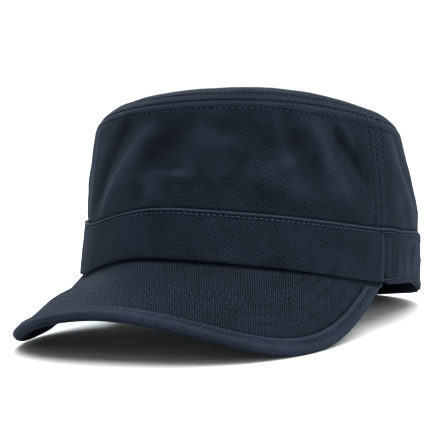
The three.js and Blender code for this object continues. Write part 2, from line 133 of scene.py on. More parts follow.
# Places painted paler (above 0) or deeper (below 0) on the crown: a turn and a
# height above the rim, half widths round and up in millimetres, and how strong the place is.
SPOTS = (
    (5.5, 38.7, 7, 1.6, 0.55),
    (-3.5, 33.0, 5, 6, 0.30),
    (13, 55, 14, 4, 0.18),
    (22, 45, 16, 5, 0.16),
    (36.5, 48.4, 3.5, 2.0, 0.22),
    (41, 37, 8, 5, 0.25),
    (51, 50.5, 2.5, 6, 0.22),
    (53, 40, 4, 4, 0.25),
    (60, 53, 2.0, 6, 0.22),
    (89, 57, 5, 5, 0.30),
    (91, 40, 5, 7, 0.30),
    (-34, 60, 8, 5, 0.25),
    (-0.5, 54, 9, 3.5, -0.55),
    (-4, 46.5, 5, 4, -0.55),
    (-8.5, 31, 4, 4, -0.55),
    (-19, 64, 4, 4, -0.50),
    (19, 63, 12, 3, -0.40),
    (13, 36, 16, 3, -0.35),
    (30, 58, 6, 6, -0.40),
    (30, 33, 12, 5, -0.30),
    (41, 60, 6, 5, -0.50),
    (46.5, 51, 3.5, 6, -0.50),
    (57, 61, 3, 5, -0.60),
    (64.5, 58, 3, 6, -0.60),
    (40, 28, 10, 2.5, -0.35),
)

SEAM_LEVEL = 1 + SHOULDER.seam_angle / 90


# ---- Small helpers ----

def ramp(t):
    """A smooth step: 0 below 0, 1 above 1, and 3t^2 - 2t^3 between."""
    c = np.clip(t, 0, 1)
    return c * c * (3 - 2 * c)


def mix(a, b, share):
    """The value a share of the way from a to b."""
    return a + (b - a) * share


def hump(distance, half_width):
    """A bell: 1 at distance 0 and e^-1 one half width away."""
    return np.exp(-((distance / half_width) ** 2))


def humps(distance, rows):
    """Bells added up. Each row is an amount, the distance where it stands and its half width."""
    return sum(amount * hump(distance - place, half_width) for amount, place, half_width in rows)


def sin_d(angle):
    """The sine of an angle in degrees."""
    return np.sin(np.radians(angle))


def cos_d(angle):
    """The cosine of an angle in degrees."""
    return np.cos(np.radians(angle))


def unit(vectors):
    """Vectors scaled to length one along the last axis."""
    return vectors / np.maximum(np.linalg.norm(vectors, axis=-1, keepdims=True), 1e-9)


def grid(rows, columns):
    """The values of rows and columns, each repeated over a whole grid."""
    return np.meshgrid(rows, columns, indexing="ij")


def smooth_noise(u, v, size, seed):
    """Random heights from -1 to 1 on a square lattice of the given size, blended smoothly between."""
    count = 64
    lattice = np.random.default_rng(seed).uniform(-1, 1, (count, count))
    x, y = u / size, v / size
    i, j = np.floor(x).astype(int), np.floor(y).astype(int)
    a, b = ramp(x - i), ramp(y - j)
    i0, i1, j0, j1 = i % count, (i + 1) % count, j % count, (j + 1) % count
    return mix(mix(lattice[i0, j0], lattice[i1, j0], a), mix(lattice[i0, j1], lattice[i1, j1], a), b)


def puckered(along, u, v, length, wander, size, seed):
    """A wave along a seam: sin(2 pi along / length + wander times noise of a size)."""
    return np.sin(2 * np.pi * along / length + wander * smooth_noise(u, v, size, seed))


def turn_from(place, turn):
    """Degrees from one turn to another, the short way round."""
    return (turn - place + 180) % 360 - 180


def away_from_front(turn):
    """Degrees from the front, to either side."""
    return np.abs(turn_from(0, turn))


def near(place, turn):
    """1 at a place's turn, falling in a smooth step to 0 at its half turn away."""
    return ramp(1 - np.abs(turn_from(place.turn, turn)) / place.half_turn)


# ---- The cap's surfaces ----

def oval(turn, shape, wider=0):
    """A rounded ellipse: radius (|sin/w|^n + |cos/l|^n)^(-1/n), its width tapered towards the front."""
    s, c = sin_d(turn), cos_d(turn)
    width, length, n = shape.half_width + wider, shape.half_length + wider, shape.squareness
    r = (np.abs(s / width) ** n + np.abs(c / length) ** n) ** (-1 / n)
    return s * r * (1 - shape.taper * c * r / length), -c * r


def outward(turn):
    """The outward direction in plan of the rim's oval."""
    ax, ay = oval(turn - 0.5, RIM)
    bx, by = oval(turn + 0.5, RIM)
    length = np.hypot(bx - ax, by - ay)
    return (by - ay) / length, -(bx - ax) / length


def past_rim(point, wider):
    """How much further from the head's middle a point lies in plan than the rim made wider."""
    x, y = point[..., 0], point[..., 1]
    return np.hypot(x, y) - np.hypot(*oval(np.degrees(np.arctan2(x, -y)), RIM, wider))


VISOR_DOWN = np.array([0, -cos_d(VISOR.slope), -sin_d(VISOR.slope)])
VISOR_UP = np.array([0, -sin_d(VISOR.slope), cos_d(VISOR.slope)])
VISOR_START = np.array([0, -RIM.half_length, VISOR.front_rise])
START_DOWN, START_UP = VISOR_START @ VISOR_DOWN, VISOR_START @ VISOR_UP


def visor_radius(along):
    """The roll's radius, which grows a little towards the visor's front edge."""
    return VISOR.radius + VISOR.radius_gain * along


def visor_sag_at(across, along, above):
    """The sag at the wearer's right: a ramp across times a ramp along, weaker on the upper face."""
    return (
        VISOR_SAG.depth * mix(VISOR_SAG.upper_share, 1, ramp(-above / VISOR.thickness))
        * ramp((VISOR_SAG.from_across - across) / VISOR_SAG.over_across)
        * ramp((VISOR_SAG.until_along - along) / VISOR_SAG.over_along)
    )


def visor_dip_at(x, y):
    """The dip at the band: a smooth bump over the turn that fades outwards from the rim."""
    outwards = np.hypot(x / RIM.half_width, y / RIM.half_length) - VISOR_DIP.from_size
    return (
        VISOR_DIP.depth * near(VISOR_DIP, np.degrees(np.arctan2(x, -y)))
        * (1 - ramp(outwards / VISOR_DIP.fade_over))
    )


def visor_point(across, along, above):
    """The visor's sheet: a point on a cone-like roll round an axis that slopes down to the front."""
    radius = visor_radius(along)
    bend = across / radius
    lifted = radius + above - visor_sag_at(across, along, above)
    up = START_UP - radius + lifted * np.cos(bend)
    point = (along + START_DOWN)[..., None] * VISOR_DOWN + up[..., None] * VISOR_UP
    point[..., 0] += lifted * np.sin(bend)
    point[..., 2] -= visor_dip_at(point[..., 0], point[..., 1])
    return point


def visor_height(x, y, above):
    """Height over a place in plan of the surface above the sheet, closed in on in six rounds.

    largest keeps places beyond the roll's side inside the arcsine and the square root.
    """
    largest = 0.98
    z = np.zeros_like(x)
    for _ in range(6):
        along = y * VISOR_DOWN[1] + z * VISOR_DOWN[2] - START_DOWN
        radius = visor_radius(along)
        across = radius * np.arcsin(np.clip(x / radius, -largest, largest))
        lifted = radius + above - visor_sag_at(across, along, above)
        drop = radius - np.sqrt(lifted ** 2 - np.minimum(np.abs(x), lifted * largest) ** 2)
        z = (START_UP - drop - y * VISOR_UP[1]) / VISOR_UP[2]
    return z - visor_dip_at(x, y)


def visor_edge(angle, inset):
    """The visor's outer edge, a squarish oval in the sheet, moved in square to itself."""
    def place(a):
        s, c = sin_d(a), cos_d(a)
        p = VISOR.corner_power
        r = (np.abs(s) ** p + np.abs(c) ** p) ** (-1 / p)
        return np.stack([VISOR.half_span * s * r, VISOR.reach - VISOR.depth * (1 - c * r)])

    across, along = place(angle)
    step_across, step_along = place(angle + 0.5) - place(angle - 0.5)
    length = np.hypot(step_across, step_along)
    return across + step_along / length * inset, along - step_across / length * inset


def rim_height(turn, x, y):
    """The band's lower edge: on the visor's sheet at the front, nearly level round the back."""
    away = away_from_front(turn)
    front = ramp((VISOR_SEWN_TURN + RIM_LEAVES_VISOR.past - away) / RIM_LEAVES_VISOR.over)
    dip = REAR_DIP.depth * ramp((away - 180 + REAR_DIP.half_turn) / REAR_DIP.over)
    lifted = SIDE_RISE.by * near(SIDE_RISE, turn)
    back = REAR_RISE * (0.5 - 0.5 * cos_d(turn)) ** 2 - dip + lifted
    return mix(back, visor_height(x, y, GAP), front)


def plain_crown(turn, level):
    """Wall (level 0 to 1), quarter-turn shoulder (1 to 2) and domed top (2 to 3) over the rim."""
    facing, away = cos_d(turn), away_from_front(turn)
    head = np.stack(oval(turn, WALL_TOP), axis=-1)
    foot = np.stack(oval(turn, RIM), axis=-1)
    middle = np.array([WALL_TOP_SIDEWAYS, -WALL_TOP_FORWARD])
    head_z = (
        WALL_TOP_HEIGHT + WALL_RISE_AT_FRONT * (0.5 + 0.5 * facing) ** 2
        + WALL_TILT * head[..., 0] + FRONT_LIFT.by * near(FRONT_LIFT, turn)
    )
    ends = np.where(facing > 0, SWELL.front, SWELL.back)
    flat = (sin_d(turn) < 0) * FLATTER.depth * near(FLATTER, away)
    swell_here = ends * facing ** 2 + SWELL.side * (1 - facing ** 2) - flat
    drawn = DRAW_IN.depth * near(DRAW_IN, away) * ramp(1 - level / DRAW_IN.up_to)
    flared = RIGHT_FLARE.by * near(RIGHT_FLARE, turn) * ramp(1 - level / RIGHT_FLARE.up_to)
    swollen = swell_here * np.sin(np.pi * np.clip(level, 0, 1)) - drawn + flared
    angle = 90 * (level - 1)
    roll_in = SHOULDER.roll_in * (1 - cos_d(angle))
    reach = np.clip(3 - level, 0, None)
    across = (np.linalg.norm(head, axis=-1) - SHOULDER.roll_in) * reach
    middle_z = WALL_TOP_HEIGHT + WALL_RISE_AT_FRONT * TOP_DOME.tilt_share + SHOULDER.roll_up

    on_wall, on_shoulder = level <= 1, level <= 2
    plan = np.select([on_wall[..., None], on_shoulder[..., None]], [
        mix(foot, head + middle, level[..., None]) + swollen[..., None] * unit(foot),
        head + middle - roll_in[..., None] * unit(head),
    ], middle + across[..., None] * unit(head))
    up = np.select([on_wall, on_shoulder], [
        mix(rim_height(turn, foot[..., 0], foot[..., 1]), head_z, level),
        head_z + SHOULDER.roll_up * sin_d(angle),
    ], mix(middle_z, head_z + SHOULDER.roll_up, reach) + TOP_DOME.rise * (1 - reach ** TOP_DOME.power))
    return np.concatenate([plan, up[..., None]], axis=-1)


def eased_crown(turn, level):
    """The crown with its shape averaged over five places a little above and below."""
    spread = (
        EASING.spread * ramp(level / EASING.over_from_rim)
        * ramp((3 - level) / EASING.over_from_middle)
    )
    return sum(plain_crown(turn, level + step * spread) for step in (-2, -1, 0, 1, 2)) / 5


def wall_height(turn):
    """The wall's height over the rim, and the rim's own height."""
    foot = eased_crown(turn, np.zeros_like(turn))[..., 2]
    return eased_crown(turn, np.ones_like(turn))[..., 2] - foot, foot


def fold_swing(turn, height):
    """How far the folds move the wall: a bell across each fold's line, faded at its ends."""
    total = 0
    for turn_a, up_a, turn_b, up_b, half_width, swing in FOLDS:
        line_x, line_y = (turn_b - turn_a) * MM_PER_DEGREE, up_b - up_a
        here_x, here_y = turn_from(turn_a, turn) * MM_PER_DEGREE, height - up_a
        length = math.hypot(line_x, line_y)
        along = (here_x * line_x + here_y * line_y) / length ** 2
        off = np.abs(here_x * line_y - here_y * line_x) / length
        ends = (
            ramp((along + FOLD_OVERRUN) / (2 * FOLD_OVERRUN))
            * ramp((1 + FOLD_OVERRUN - along) / (2 * FOLD_OVERRUN))
        )
        total += swing * ends * hump(off, half_width)
    return (
        total * ramp((height - FOLDS_FADE.low) / FOLDS_FADE.over_low)
        * ramp((FOLDS_FADE.high - height) / FOLDS_FADE.over_high)
    )


def spot_tone(turn, height):
    """The paler and deeper places added up, each a bell round and up the wall."""
    return sum(
        strength * hump(turn_from(spot, turn) * MM_PER_DEGREE, half_round) * hump(height - up, half_up)
        for spot, up, half_round, half_up, strength in SPOTS
    )


def crown_normal(turn, level):
    """The outward direction, from the cross product of small steps round and up."""
    across = eased_crown(turn + 0.5, level) - eased_crown(turn - 0.5, level)
    up = eased_crown(turn, level + 0.01) - eased_crown(turn, level - 0.01)
    return unit(np.cross(across, up))


def band_height_at(turn):
    """The band's height: it grows round both sides and dips a little at the right of the front."""
    away = away_from_front(turn)
    on_right = sin_d(turn) < 0
    start = np.where(on_right, BAND_GROWS.from_right, BAND_GROWS.from_left)
    grown = BAND_GROWS.by * ramp((away - start) / BAND_GROWS.over)
    return BAND.height + grown - BAND_DIPS.by * near(BAND_DIPS, turn)


def crown_point(turn, level, outset=0):
    """The crown's face moved out by an outset and its folds, and stepped in behind the band."""
    point = eased_crown(turn, level)
    height = point[..., 2] - eased_crown(turn, np.zeros_like(level))[..., 2]
    under_band = band_height_at(turn) + CROWN_FOOT.above_band - height
    behind = CROWN_FOOT.step_in * ramp(under_band / CROWN_FOOT.over)
    push = outset - behind + np.where(level < 2, fold_swing(turn, height), 0)
    normal = crown_normal(turn, np.maximum(level, 0.01))
    normal[level >= 2.9] = (0, 0, 1)
    return point + normal * push[..., None]


def band_point(turn, height, outset):
    """A point of the band at a height above the rim, an outset out of the crown's wall.

    Near its foot the band follows the rim's height, and its corner behind the visor hangs lower.
    """
    out = crown_normal(turn, np.full_like(turn, BAND.wall_level))
    out[..., 2] = 0
    point = eased_crown(turn, height / wall_height(turn)[0]) + unit(out) * np.asarray(outset)[..., None]
    lowest = rim_height(turn, point[..., 0], point[..., 1])
    point[..., 2] = mix(lowest + height, point[..., 2], ramp(height / BAND.wall_from))
    corner = hump(turn_from(BAND_CORNER.turn, turn), BAND_CORNER.half_width)
    point[..., 2] -= BAND_CORNER.by * corner * (1 - ramp(height / BAND_CORNER.up_to))
    return point


def turned(a, b, angle):
    """Two coordinates turned by an angle: a cos + b sin, and b cos - a sin."""
    return a * cos_d(angle) + b * sin_d(angle), b * cos_d(angle) - a * sin_d(angle)


def settle(point):
    """Tips and rolls the cap, lifts it on to the floor, flattens what would go below, in metres."""
    y, z = turned(point[..., 1], point[..., 2], REST.tip)
    x, z = turned(point[..., 0], z, REST.roll)
    return np.stack([
        x - REST.sideways, y - REST.forward, np.maximum(z + REST.lift, 0)
    ], axis=-1) / 1000


# ---- Meshes ----

def add_object(name, data):
    """A new object in the scene that shows some data, at the origin."""
    made = bpy.data.objects.new(name, data)
    bpy.context.scene.collection.objects.link(made)
    return made


def store(items, field, values, kind=np.float32):
    """Gives one field of all the items of a mesh its values."""
    items.foreach_set(field, np.ascontiguousarray(values, dtype=kind).ravel())


def make_piece(name, vertices, faces, material, cloth=None, wear_and_shading=None, replaces=()):
    """A smooth mesh object from arrays of corners, with its cloth coordinates and its wear and painted
    shading stored on it.
    """
    mesh = bpy.data.meshes.new(name)
    mesh.vertices.add(len(vertices))
    store(mesh.vertices, "co", vertices)
    mesh.loops.add(faces.size)
    store(mesh.loops, "vertex_index", faces, np.int32)
    mesh.polygons.add(len(faces))
    store(mesh.polygons, "loop_start", np.arange(len(faces)) * faces.shape[1], np.int32)
    store(mesh.polygons, "use_smooth", np.ones(len(faces)), bool)
    mesh.update(calc_edges=True)
    if cloth is not None:
        store(mesh.attributes.new("cloth", "FLOAT_VECTOR", "POINT").data, "vector", cloth)
        store(mesh.attributes.new("wear_and_shading", "FLOAT", "POINT").data, "value", wear_and_shading)
    mesh.validate()
    mesh.set_sharp_from_angle(angle=math.radians(55))
    mesh.materials.append(material)
    piece = add_object(name, mesh)
    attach(piece, "root")
    if replaces:
        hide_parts(*replaces)
    return piece


def quads(*corners):
    """Faces from four arrays of corner numbers."""
    return np.stack(corners, axis=-1).reshape(-1, 4)


def closed_sheet(outer, inner, ring):
    """Corners and outward faces of the cloth between two grids, its open sides closed.

    In a ring the last row of the grid is joined to the first. The faces point outwards when the
    volume they enclose, the sum of a . (b x c) + a . (c x d) over them, comes out above 0.
    """
    below = outer[..., 0].size
    number = np.arange(below).reshape(outer.shape[:2])
    if ring:
        number = np.concatenate([number, number[:1]])
    face = quads(number[:-1, :-1], number[1:, :-1], number[1:, 1:], number[:-1, 1:])
    borders = [number[:, 0], number[::-1, -1]]
    if not ring:
        borders += [number[0, ::-1], number[-1]]
    closing = [quads(line[:-1], line[:-1] + below, line[1:] + below, line[1:]) for line in borders]
    faces = np.concatenate([face, face[:, ::-1] + below, *closing])
    vertices = np.concatenate([outer.reshape(-1, 3), inner.reshape(-1, 3)])
    a, b, c, d = (vertices[faces[:, k]] for k in range(4))
    volume = (a * (np.cross(b, c) + np.cross(c, d))).sum()
    return vertices, faces if volume > 0 else faces[:, ::-1]


def make_sheet(name, node, material, outer, inner, cloth, wear_and_shading, ring=False):
    """A piece of cloth between an outer and an inner grid of points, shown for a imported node."""
    vertices, faces = closed_sheet(settle(outer), settle(inner), ring)
    cloth_twice = np.concatenate([cloth.reshape(-1, 3)] * 2)
    return make_piece(
        name, vertices, faces, material, cloth_twice, np.tile(wear_and_shading.ravel(), 2), [node])


def lengths_along(points, axis):
    """Distance walked along one axis of a grid of points."""
    steps = np.linalg.norm(np.diff(points, axis=axis), axis=-1)
    first = np.zeros_like(np.take(steps, [0], axis=axis))
    return np.cumsum(np.concatenate([first, steps], axis=axis), axis=axis)


def rib_coordinates(u, v, lean):
    """Cloth coordinates across and along ribs that lean from level by an angle that may change with u.

    Across is the integral of sin(lean) over u less v cos(lean); along is u cos(lean) + v sin(lean).
    """
    lean = lean + 0 * u
    steps = 0.5 * (sin_d(lean[1:]) + sin_d(lean[:-1])) * (u[1:] - u[:-1])
    across = np.concatenate([u[:1] * sin_d(lean[:1]), steps]).cumsum(axis=0)
    return np.stack([across - v * cos_d(lean), u * cos_d(lean) + v * sin_d(lean), 0 * u], axis=-1)


def moved_out(points, amount):
    """Points of a grid moved along its own outward direction."""
    normal = unit(np.cross(np.gradient(points, axis=0), np.gradient(points, axis=1)))
    return points + normal * amount[..., None]


def smoothed_rows(rows, count, rounds):
    """Rows of a section run through straight steps and then averaged with their neighbours."""
    rows = np.array(rows, dtype=float)
    walked = lengths_along(rows[:, :2], 0)
    dense = np.linspace(0, walked[-1], count)
    out = np.stack([np.interp(dense, walked, column) for column in rows.T], axis=-1)
    for _ in range(rounds):
        out[1:-1] = (out[:-2] + 2 * out[1:-1] + out[2:]) / 4
    return out


# ---- Threads ----

def stitch_row(points, normals, stitch=2.0, space=0.75, radius=0.24):
    """Threads along a line on the cloth: each is a short arched tube between two needle holes.

    points and normals are the line and the cloth's outward directions, in millimetres. A thread's
    height over its ends follows a half sine, thinner at its ends, and its section has six sides.
    """
    rings, sides, margin, bedded = 5, 6, 0.5, 0.02
    walked = lengths_along(points, 0)
    count = int((walked[-1] - margin) // (stitch + space))
    start = margin + np.arange(count) * (stitch + space)
    along = start[:, None] + np.linspace(0, 1, rings)[None, :] * stitch
    middle = np.stack([np.interp(along, walked, column) for column in points.T], axis=-1)
    up = unit(np.stack([np.interp(along, walked, column) for column in normals.T], axis=-1))
    side = unit(np.cross(np.gradient(middle, axis=1), up))
    arch = np.sin(np.pi * np.linspace(0, 1, rings))[None, :, None]
    lift = radius * (1.1 * arch - 0.35) - bedded
    thin = radius * mix(0.55, 1, arch)[..., None]
    angle = 360 / sides * np.arange(sides)[:, None]
    ring = (middle + up * lift)[:, :, None] + thin * (
        side[:, :, None] * cos_d(angle) + up[:, :, None] * sin_d(angle)
    )
    number = np.arange(count * rings * sides).reshape(count, rings, sides)
    after = np.roll(number, -1, axis=2)
    tube = quads(number[:, :-1], after[:, :-1], after[:, 1:], number[:, 1:])
    first, last = number[:, 0], number[:, -1]
    caps = [first[:, [3, 2, 1, 0]], first[:, [5, 4, 3, 0]], last[:, [0, 1, 2, 3]], last[:, [0, 3, 4, 5]]]
    return ring.reshape(-1, 3), np.concatenate([tube, *caps])


def make_threads(name, rows, material):
    """One piece from several rows of threads."""
    placed = np.cumsum([0] + [len(vertices) for vertices, _ in rows])
    faces = np.concatenate([faces + first for (_, faces), first in zip(rows, placed)])
    vertices = settle(np.concatenate([vertices for vertices, _ in rows]))
    return make_piece(name, vertices, faces, material)


def line_normals(surface, first, second, step=0.4):
    """Outward directions along a line on a surface that is a function of two coordinates."""
    across = surface(first + step, second) - surface(first - step, second)
    up = surface(first, second + step) - surface(first, second - step)
    return unit(np.cross(across, up))


# ---- Materials ----

class Nodes:
    """A node tree to add nodes to. Inputs are given as sockets, numbers or colours."""

    def __init__(self, tree):
        self.tree = tree

    def fill(self, node, inputs):
        """Links or sets a node's inputs, each found by its name or number."""
        for name, value in inputs.items():
            if isinstance(value, bpy.types.NodeSocket):
                self.tree.links.new(value, node.inputs[name])
            else:
                node.inputs[name].default_value = (*value, 1) if isinstance(value, tuple) else value

    def add(self, kind, inputs):
        """A new node of a kind with its inputs filled."""
        node = self.tree.nodes.new("ShaderNode" + kind)
        self.fill(node, inputs)
        return node

    def math(self, operation, *values, clamp=False):
        """The result of a math node."""
        node = self.add("Math", dict(enumerate(values)))
        node.operation = operation
        node.use_clamp = clamp
        return node.outputs[0]

    def wave(self, turns):
        """0.5 + 0.5 sin of a number of turns."""
        sine = self.math("SINE", self.math("MULTIPLY", turns, 2 * math.pi))
        return self.math("MULTIPLY_ADD", sine, 0.5, 0.5)

    def noise(self, place, scale, detail, roughness=0.5, distortion=0.0):
        """Noise from 0 to 1 at a place."""
        return self.add("TexNoise", {
            "Vector": place, "Scale": scale, "Detail": detail, "Roughness": roughness,
            "Distortion": distortion,
        }).outputs["Fac"]

    def attribute(self, name, output):
        """An output of a value stored on the mesh."""
        node = self.tree.nodes.new("ShaderNodeAttribute")
        node.attribute_name = name
        return node.outputs[output]

    def blend(self, share, first, second):
        """A colour a share of the way from the first to the second."""
        node = self.tree.nodes.new("ShaderNodeMix")
        node.data_type = "RGBA"
        self.fill(node, {0: share, 6: first, 7: second})
        return node.outputs[2]


def make_group(name, inputs, outputs):
    """An empty node group with named sockets: its Nodes, its inputs' sockets and its end node."""
    tree = bpy.data.node_groups.new(name, "ShaderNodeTree")
    for socket, kind in inputs:
        tree.interface.new_socket(name=socket, in_out="INPUT", socket_type="NodeSocket" + kind)
    for socket, kind in outputs:
        tree.interface.new_socket(name=socket, in_out="OUTPUT", socket_type="NodeSocket" + kind)
    given = tree.nodes.new("NodeGroupInput").outputs
    return Nodes(tree), [given[socket] for socket, _ in inputs], tree.nodes.new("NodeGroupOutput")


def twill_weave(nodes, cloth, pitch):
    """Twill ribs, the floats that bead each rib, and lint, all from 0 to 1.

    The cloth coordinates run across (x) and along (y) the ribs. A rib is 0.5 + 0.5 sin(2 pi x / pitch),
    bent a little by noise. Floats are the same along the rib, shifted from rib to rib. Lint is fuzz.
    """
    bend, float_length, shift = 1.6, 0.9, 0.37
    split = nodes.add("SeparateXYZ", {0: cloth})
    wander = nodes.math("SUBTRACT", nodes.noise(cloth, 0.09, 3.0, 0.6), 0.5)
    phase = nodes.math("DIVIDE", nodes.math("MULTIPLY_ADD", wander, bend, split.outputs[0]), pitch)
    along = nodes.math("DIVIDE", split.outputs[1], nodes.math("MULTIPLY", pitch, float_length))
    staggered = nodes.math("MULTIPLY_ADD", nodes.math("FLOOR", phase), shift, along)
    return nodes.wave(phase), nodes.wave(staggered), nodes.noise(cloth, 1.5, 4.0, 0.8)


def washed_fade(nodes, cloth, wear_and_shading):
    """Garment-wash fading with painted shading, all from 0 to 1: cloudy patches of three sizes, paler
    and deeper places.

    A stored tone above 0 comes out paler, as rubbed dye and painted highlight, broken up by fine noise,
    and a tone below 0 comes out deeper, as unworn dye and painted shade.
    """
    large = nodes.noise(cloth, 0.035, 3.0, 0.55, 0.4)
    middling = nodes.noise(cloth, 0.13, 4.0, 0.6, 0.6)
    small = nodes.noise(cloth, 0.55, 3.0, 0.6)
    clouds = nodes.math("MULTIPLY", small, 0.2)
    clouds = nodes.math("MULTIPLY_ADD", middling, 0.35, clouds)
    clouds = nodes.math("MULTIPLY_ADD", large, 0.45, clouds)
    patches = nodes.math("MULTIPLY_ADD", nodes.math("SUBTRACT", clouds, 0.5), 3.0, 0.5, clamp=True)
    broken = nodes.math("MULTIPLY_ADD", small, 1.5, 0.25, clamp=True)
    rubbed_and_lit = nodes.math("MULTIPLY", wear_and_shading, broken, clamp=True)
    return patches, rubbed_and_lit, nodes.math("MULTIPLY", wear_and_shading, -1.0, clamp=True)


def make_twill_group():
    """Washed twill: the dye's tone from weave, patches, wear with painted shading and lint, with its
    roughness and height.

    The tone is patches * 0.40 + lint * 2.25 - unworn_and_shaded * 0.45 + raised * 0.90 - 1.30, from 0
    for deep to 1 for pale dye. Raised is how far a rib and its floats stand up.
    """
    nodes, (cloth, wear_and_shading, pitch, deep, pale, rubbed_and_lit_tone), out = make_group(
        "washed_twill",
        [("Cloth", "Vector"), ("Wear_and_shading", "Float"), ("Pitch", "Float"),
         ("Deep", "Color"), ("Pale", "Color"), ("Rubbed_and_lit", "Color")],
        [("Color", "Color"), ("Roughness", "Float"), ("Height", "Float")],
    )
    rib, floats, lint = twill_weave(nodes, cloth, pitch)
    patches, rubbed_and_lit, unworn_and_shaded = washed_fade(nodes, cloth, wear_and_shading)
    raised = nodes.math("MULTIPLY", rib, nodes.math("MULTIPLY_ADD", floats, 0.6, 0.4))
    tone = nodes.math("MULTIPLY_ADD", patches, 0.40, -1.30)
    tone = nodes.math("MULTIPLY_ADD", lint, 2.25, tone)
    tone = nodes.math("MULTIPLY_ADD", unworn_and_shaded, -0.45, tone)
    tone = nodes.math("MULTIPLY_ADD", raised, 0.90, tone, clamp=True)
    rubbed_and_lit_here = nodes.math("MULTIPLY", rubbed_and_lit, nodes.math("MULTIPLY_ADD", raised, 0.6, 0.4))
    nodes.fill(out, {
        "Color": nodes.blend(rubbed_and_lit_here, nodes.blend(tone, deep, pale), rubbed_and_lit_tone),
        "Roughness": nodes.math("MULTIPLY_ADD", raised, -0.1, 0.95),
        "Height": nodes.math("MULTIPLY_ADD", raised, 0.8, nodes.math("MULTIPLY", lint, 0.5)),
    })
    return nodes.tree


def make_thread_group():
    """Twisted cotton thread: noise mixes a deep and a pale tone, and finer noise is its height."""
    nodes, (place, deep, pale), out = make_group(
        "thread_grain", [("Place", "Vector"), ("Deep", "Color"), ("Pale", "Color")],
        [("Color", "Color"), ("Height", "Float")],
    )
    nodes.fill(out, {
        "Color": nodes.blend(nodes.noise(place, 900, 3.0, 0.6), deep, pale),
        "Height": nodes.noise(place, 2500, 2.0),
    })
    return nodes.tree


TWILL = make_twill_group()
THREAD = make_thread_group()


def new_material(name):
    """A material, the Nodes of its tree and its Principled shader."""
    material = bpy.data.materials.new(name)
    material.use_nodes = True
    return material, Nodes(material.node_tree), material.node_tree.nodes["Principled BSDF"]


def use_group(nodes, group, inputs, shader, bump_depth, bump_strength):
    """Places a group that gives a shader its colour and, through a bump in metres, its normal."""
    effect = nodes.tree.nodes.new("ShaderNodeGroup")
    effect.node_tree = group
    nodes.fill(effect, inputs)
    bump = nodes.add("Bump", {
        "Strength": bump_strength, "Distance": bump_depth, "Height": effect.outputs["Height"],
    })
    nodes.fill(shader, {"Base Color": effect.outputs["Color"], "Normal": bump.outputs["Normal"]})
    return effect


def washed_twill(name, deep, pale, pitch=1.06):
    """Navy cotton twill dyed between a deep and a pale colour, with ribs a pitch apart; the stored wear
    and painted shading darken some places and lift others towards a lighter colour.
    """
    material, nodes, shader = new_material(name)
    effect = use_group(nodes, TWILL, {
        "Cloth": nodes.attribute("cloth", "Vector"), "Wear_and_shading": nodes.attribute("wear_and_shading", "Fac"),
        "Pitch": pitch, "Deep": deep, "Pale": pale,
        "Rubbed_and_lit": tuple(min(1.0, 1.7 * c + 0.004) for c in pale),
    }, shader, 0.0001, 1.0)
    nodes.fill(shader, {
        "Roughness": effect.outputs["Roughness"], "Specular IOR Level": 0.04, "Sheen Weight": 0.03,
        "Sheen Roughness": 0.45, "Sheen Tint": (0.45, 0.68, 1.0),
    })
    return material


def thread_finish(name, colour):
    """Matt thread of a colour."""
    material, nodes, shader = new_material(name)
    place = nodes.add("TexCoord", {}).outputs["Object"]
    use_group(nodes, THREAD, {
        "Place": place, "Deep": shade(colour, 0.55), "Pale": colour,
    }, shader, 0.00008, 0.5)
    nodes.fill(shader, {"Roughness": 0.75, "Specular IOR Level": 0.04})
    return material


def shade(colour, factor):
    """A colour made darker or lighter by a factor."""
    return tuple(c * factor for c in colour)


DEEP = (0.0006, 0.0010, 0.0018)
PALE = (0.0172, 0.0247, 0.0388)

# The crown, top, band, visor and strap are one navy twill, and the threads one thread; the factors that
# set their pale tones apart are painted light and shade for how the light falls on each piece.
crown_cloth = washed_twill("crown_twill", DEEP, shade(PALE, 0.90))
top_cloth = washed_twill("top_twill", DEEP, shade(PALE, 0.95))
band_cloth = washed_twill("band_twill", DEEP, shade(PALE, 0.96))
visor_cloth = washed_twill("visor_twill", DEEP, shade(PALE, 0.86))
binding_cloth = washed_twill("binding_twill", shade(DEEP, 1.5), shade(PALE, 1.25), 0.9)
strap_cloth = washed_twill("strap_twill", DEEP, shade(PALE, 1.1))
crown_thread = thread_finish("crown_thread", shade(PALE, 1.5))
band_thread = thread_finish("band_thread", shade(PALE, 2.3))
visor_thread = thread_finish("visor_thread", shade(PALE, 1.8))

# ---- Crown ----

CLOSED_SEAM = 0.04
HALF_GAP_TURN = math.degrees(CLOSED_SEAM / RIM.half_width)
SEAM_FRONT, SEAM_BACK = SIDE_SEAM_TURN - HALF_GAP_TURN, SIDE_SEAM_TURN + HALF_GAP_TURN
HALF_GAP_LEVEL = CLOSED_SEAM / SHOULDER.length
# Rows of topstitching: beside the side seams, in from the top panel's seam, and below that seam on
# the wall, where the distance widens towards the back.
SIDE_STITCH, TOP_STITCH_IN = 5.4, 4.4
WALL_STITCH = Sizes(down=4.3, wider=1.2, from_left=20, from_right=60, over=45)
# Creases left by the wash: rows of height, stretch upwards and size.
CREASES = ((0.32, 1, 17), (0.17, 0.7, 8), (0.06, 1, 3.4))
# Bells of relief, and of tone, by a distance from a seam or a row of stitching, as humps takes them.
TOP_SEAM_RELIEF = ((-0.30, 0, 0.45), (0.07, 1.6, 1.2))
SIDE_SEAM_RELIEF = ((-0.45, 0, 0.5), (0.12, 1.6, 1.2), (-0.28, SIDE_STITCH, 0.6))
STITCH_GROOVE = ((-0.32, 0, 0.6),)
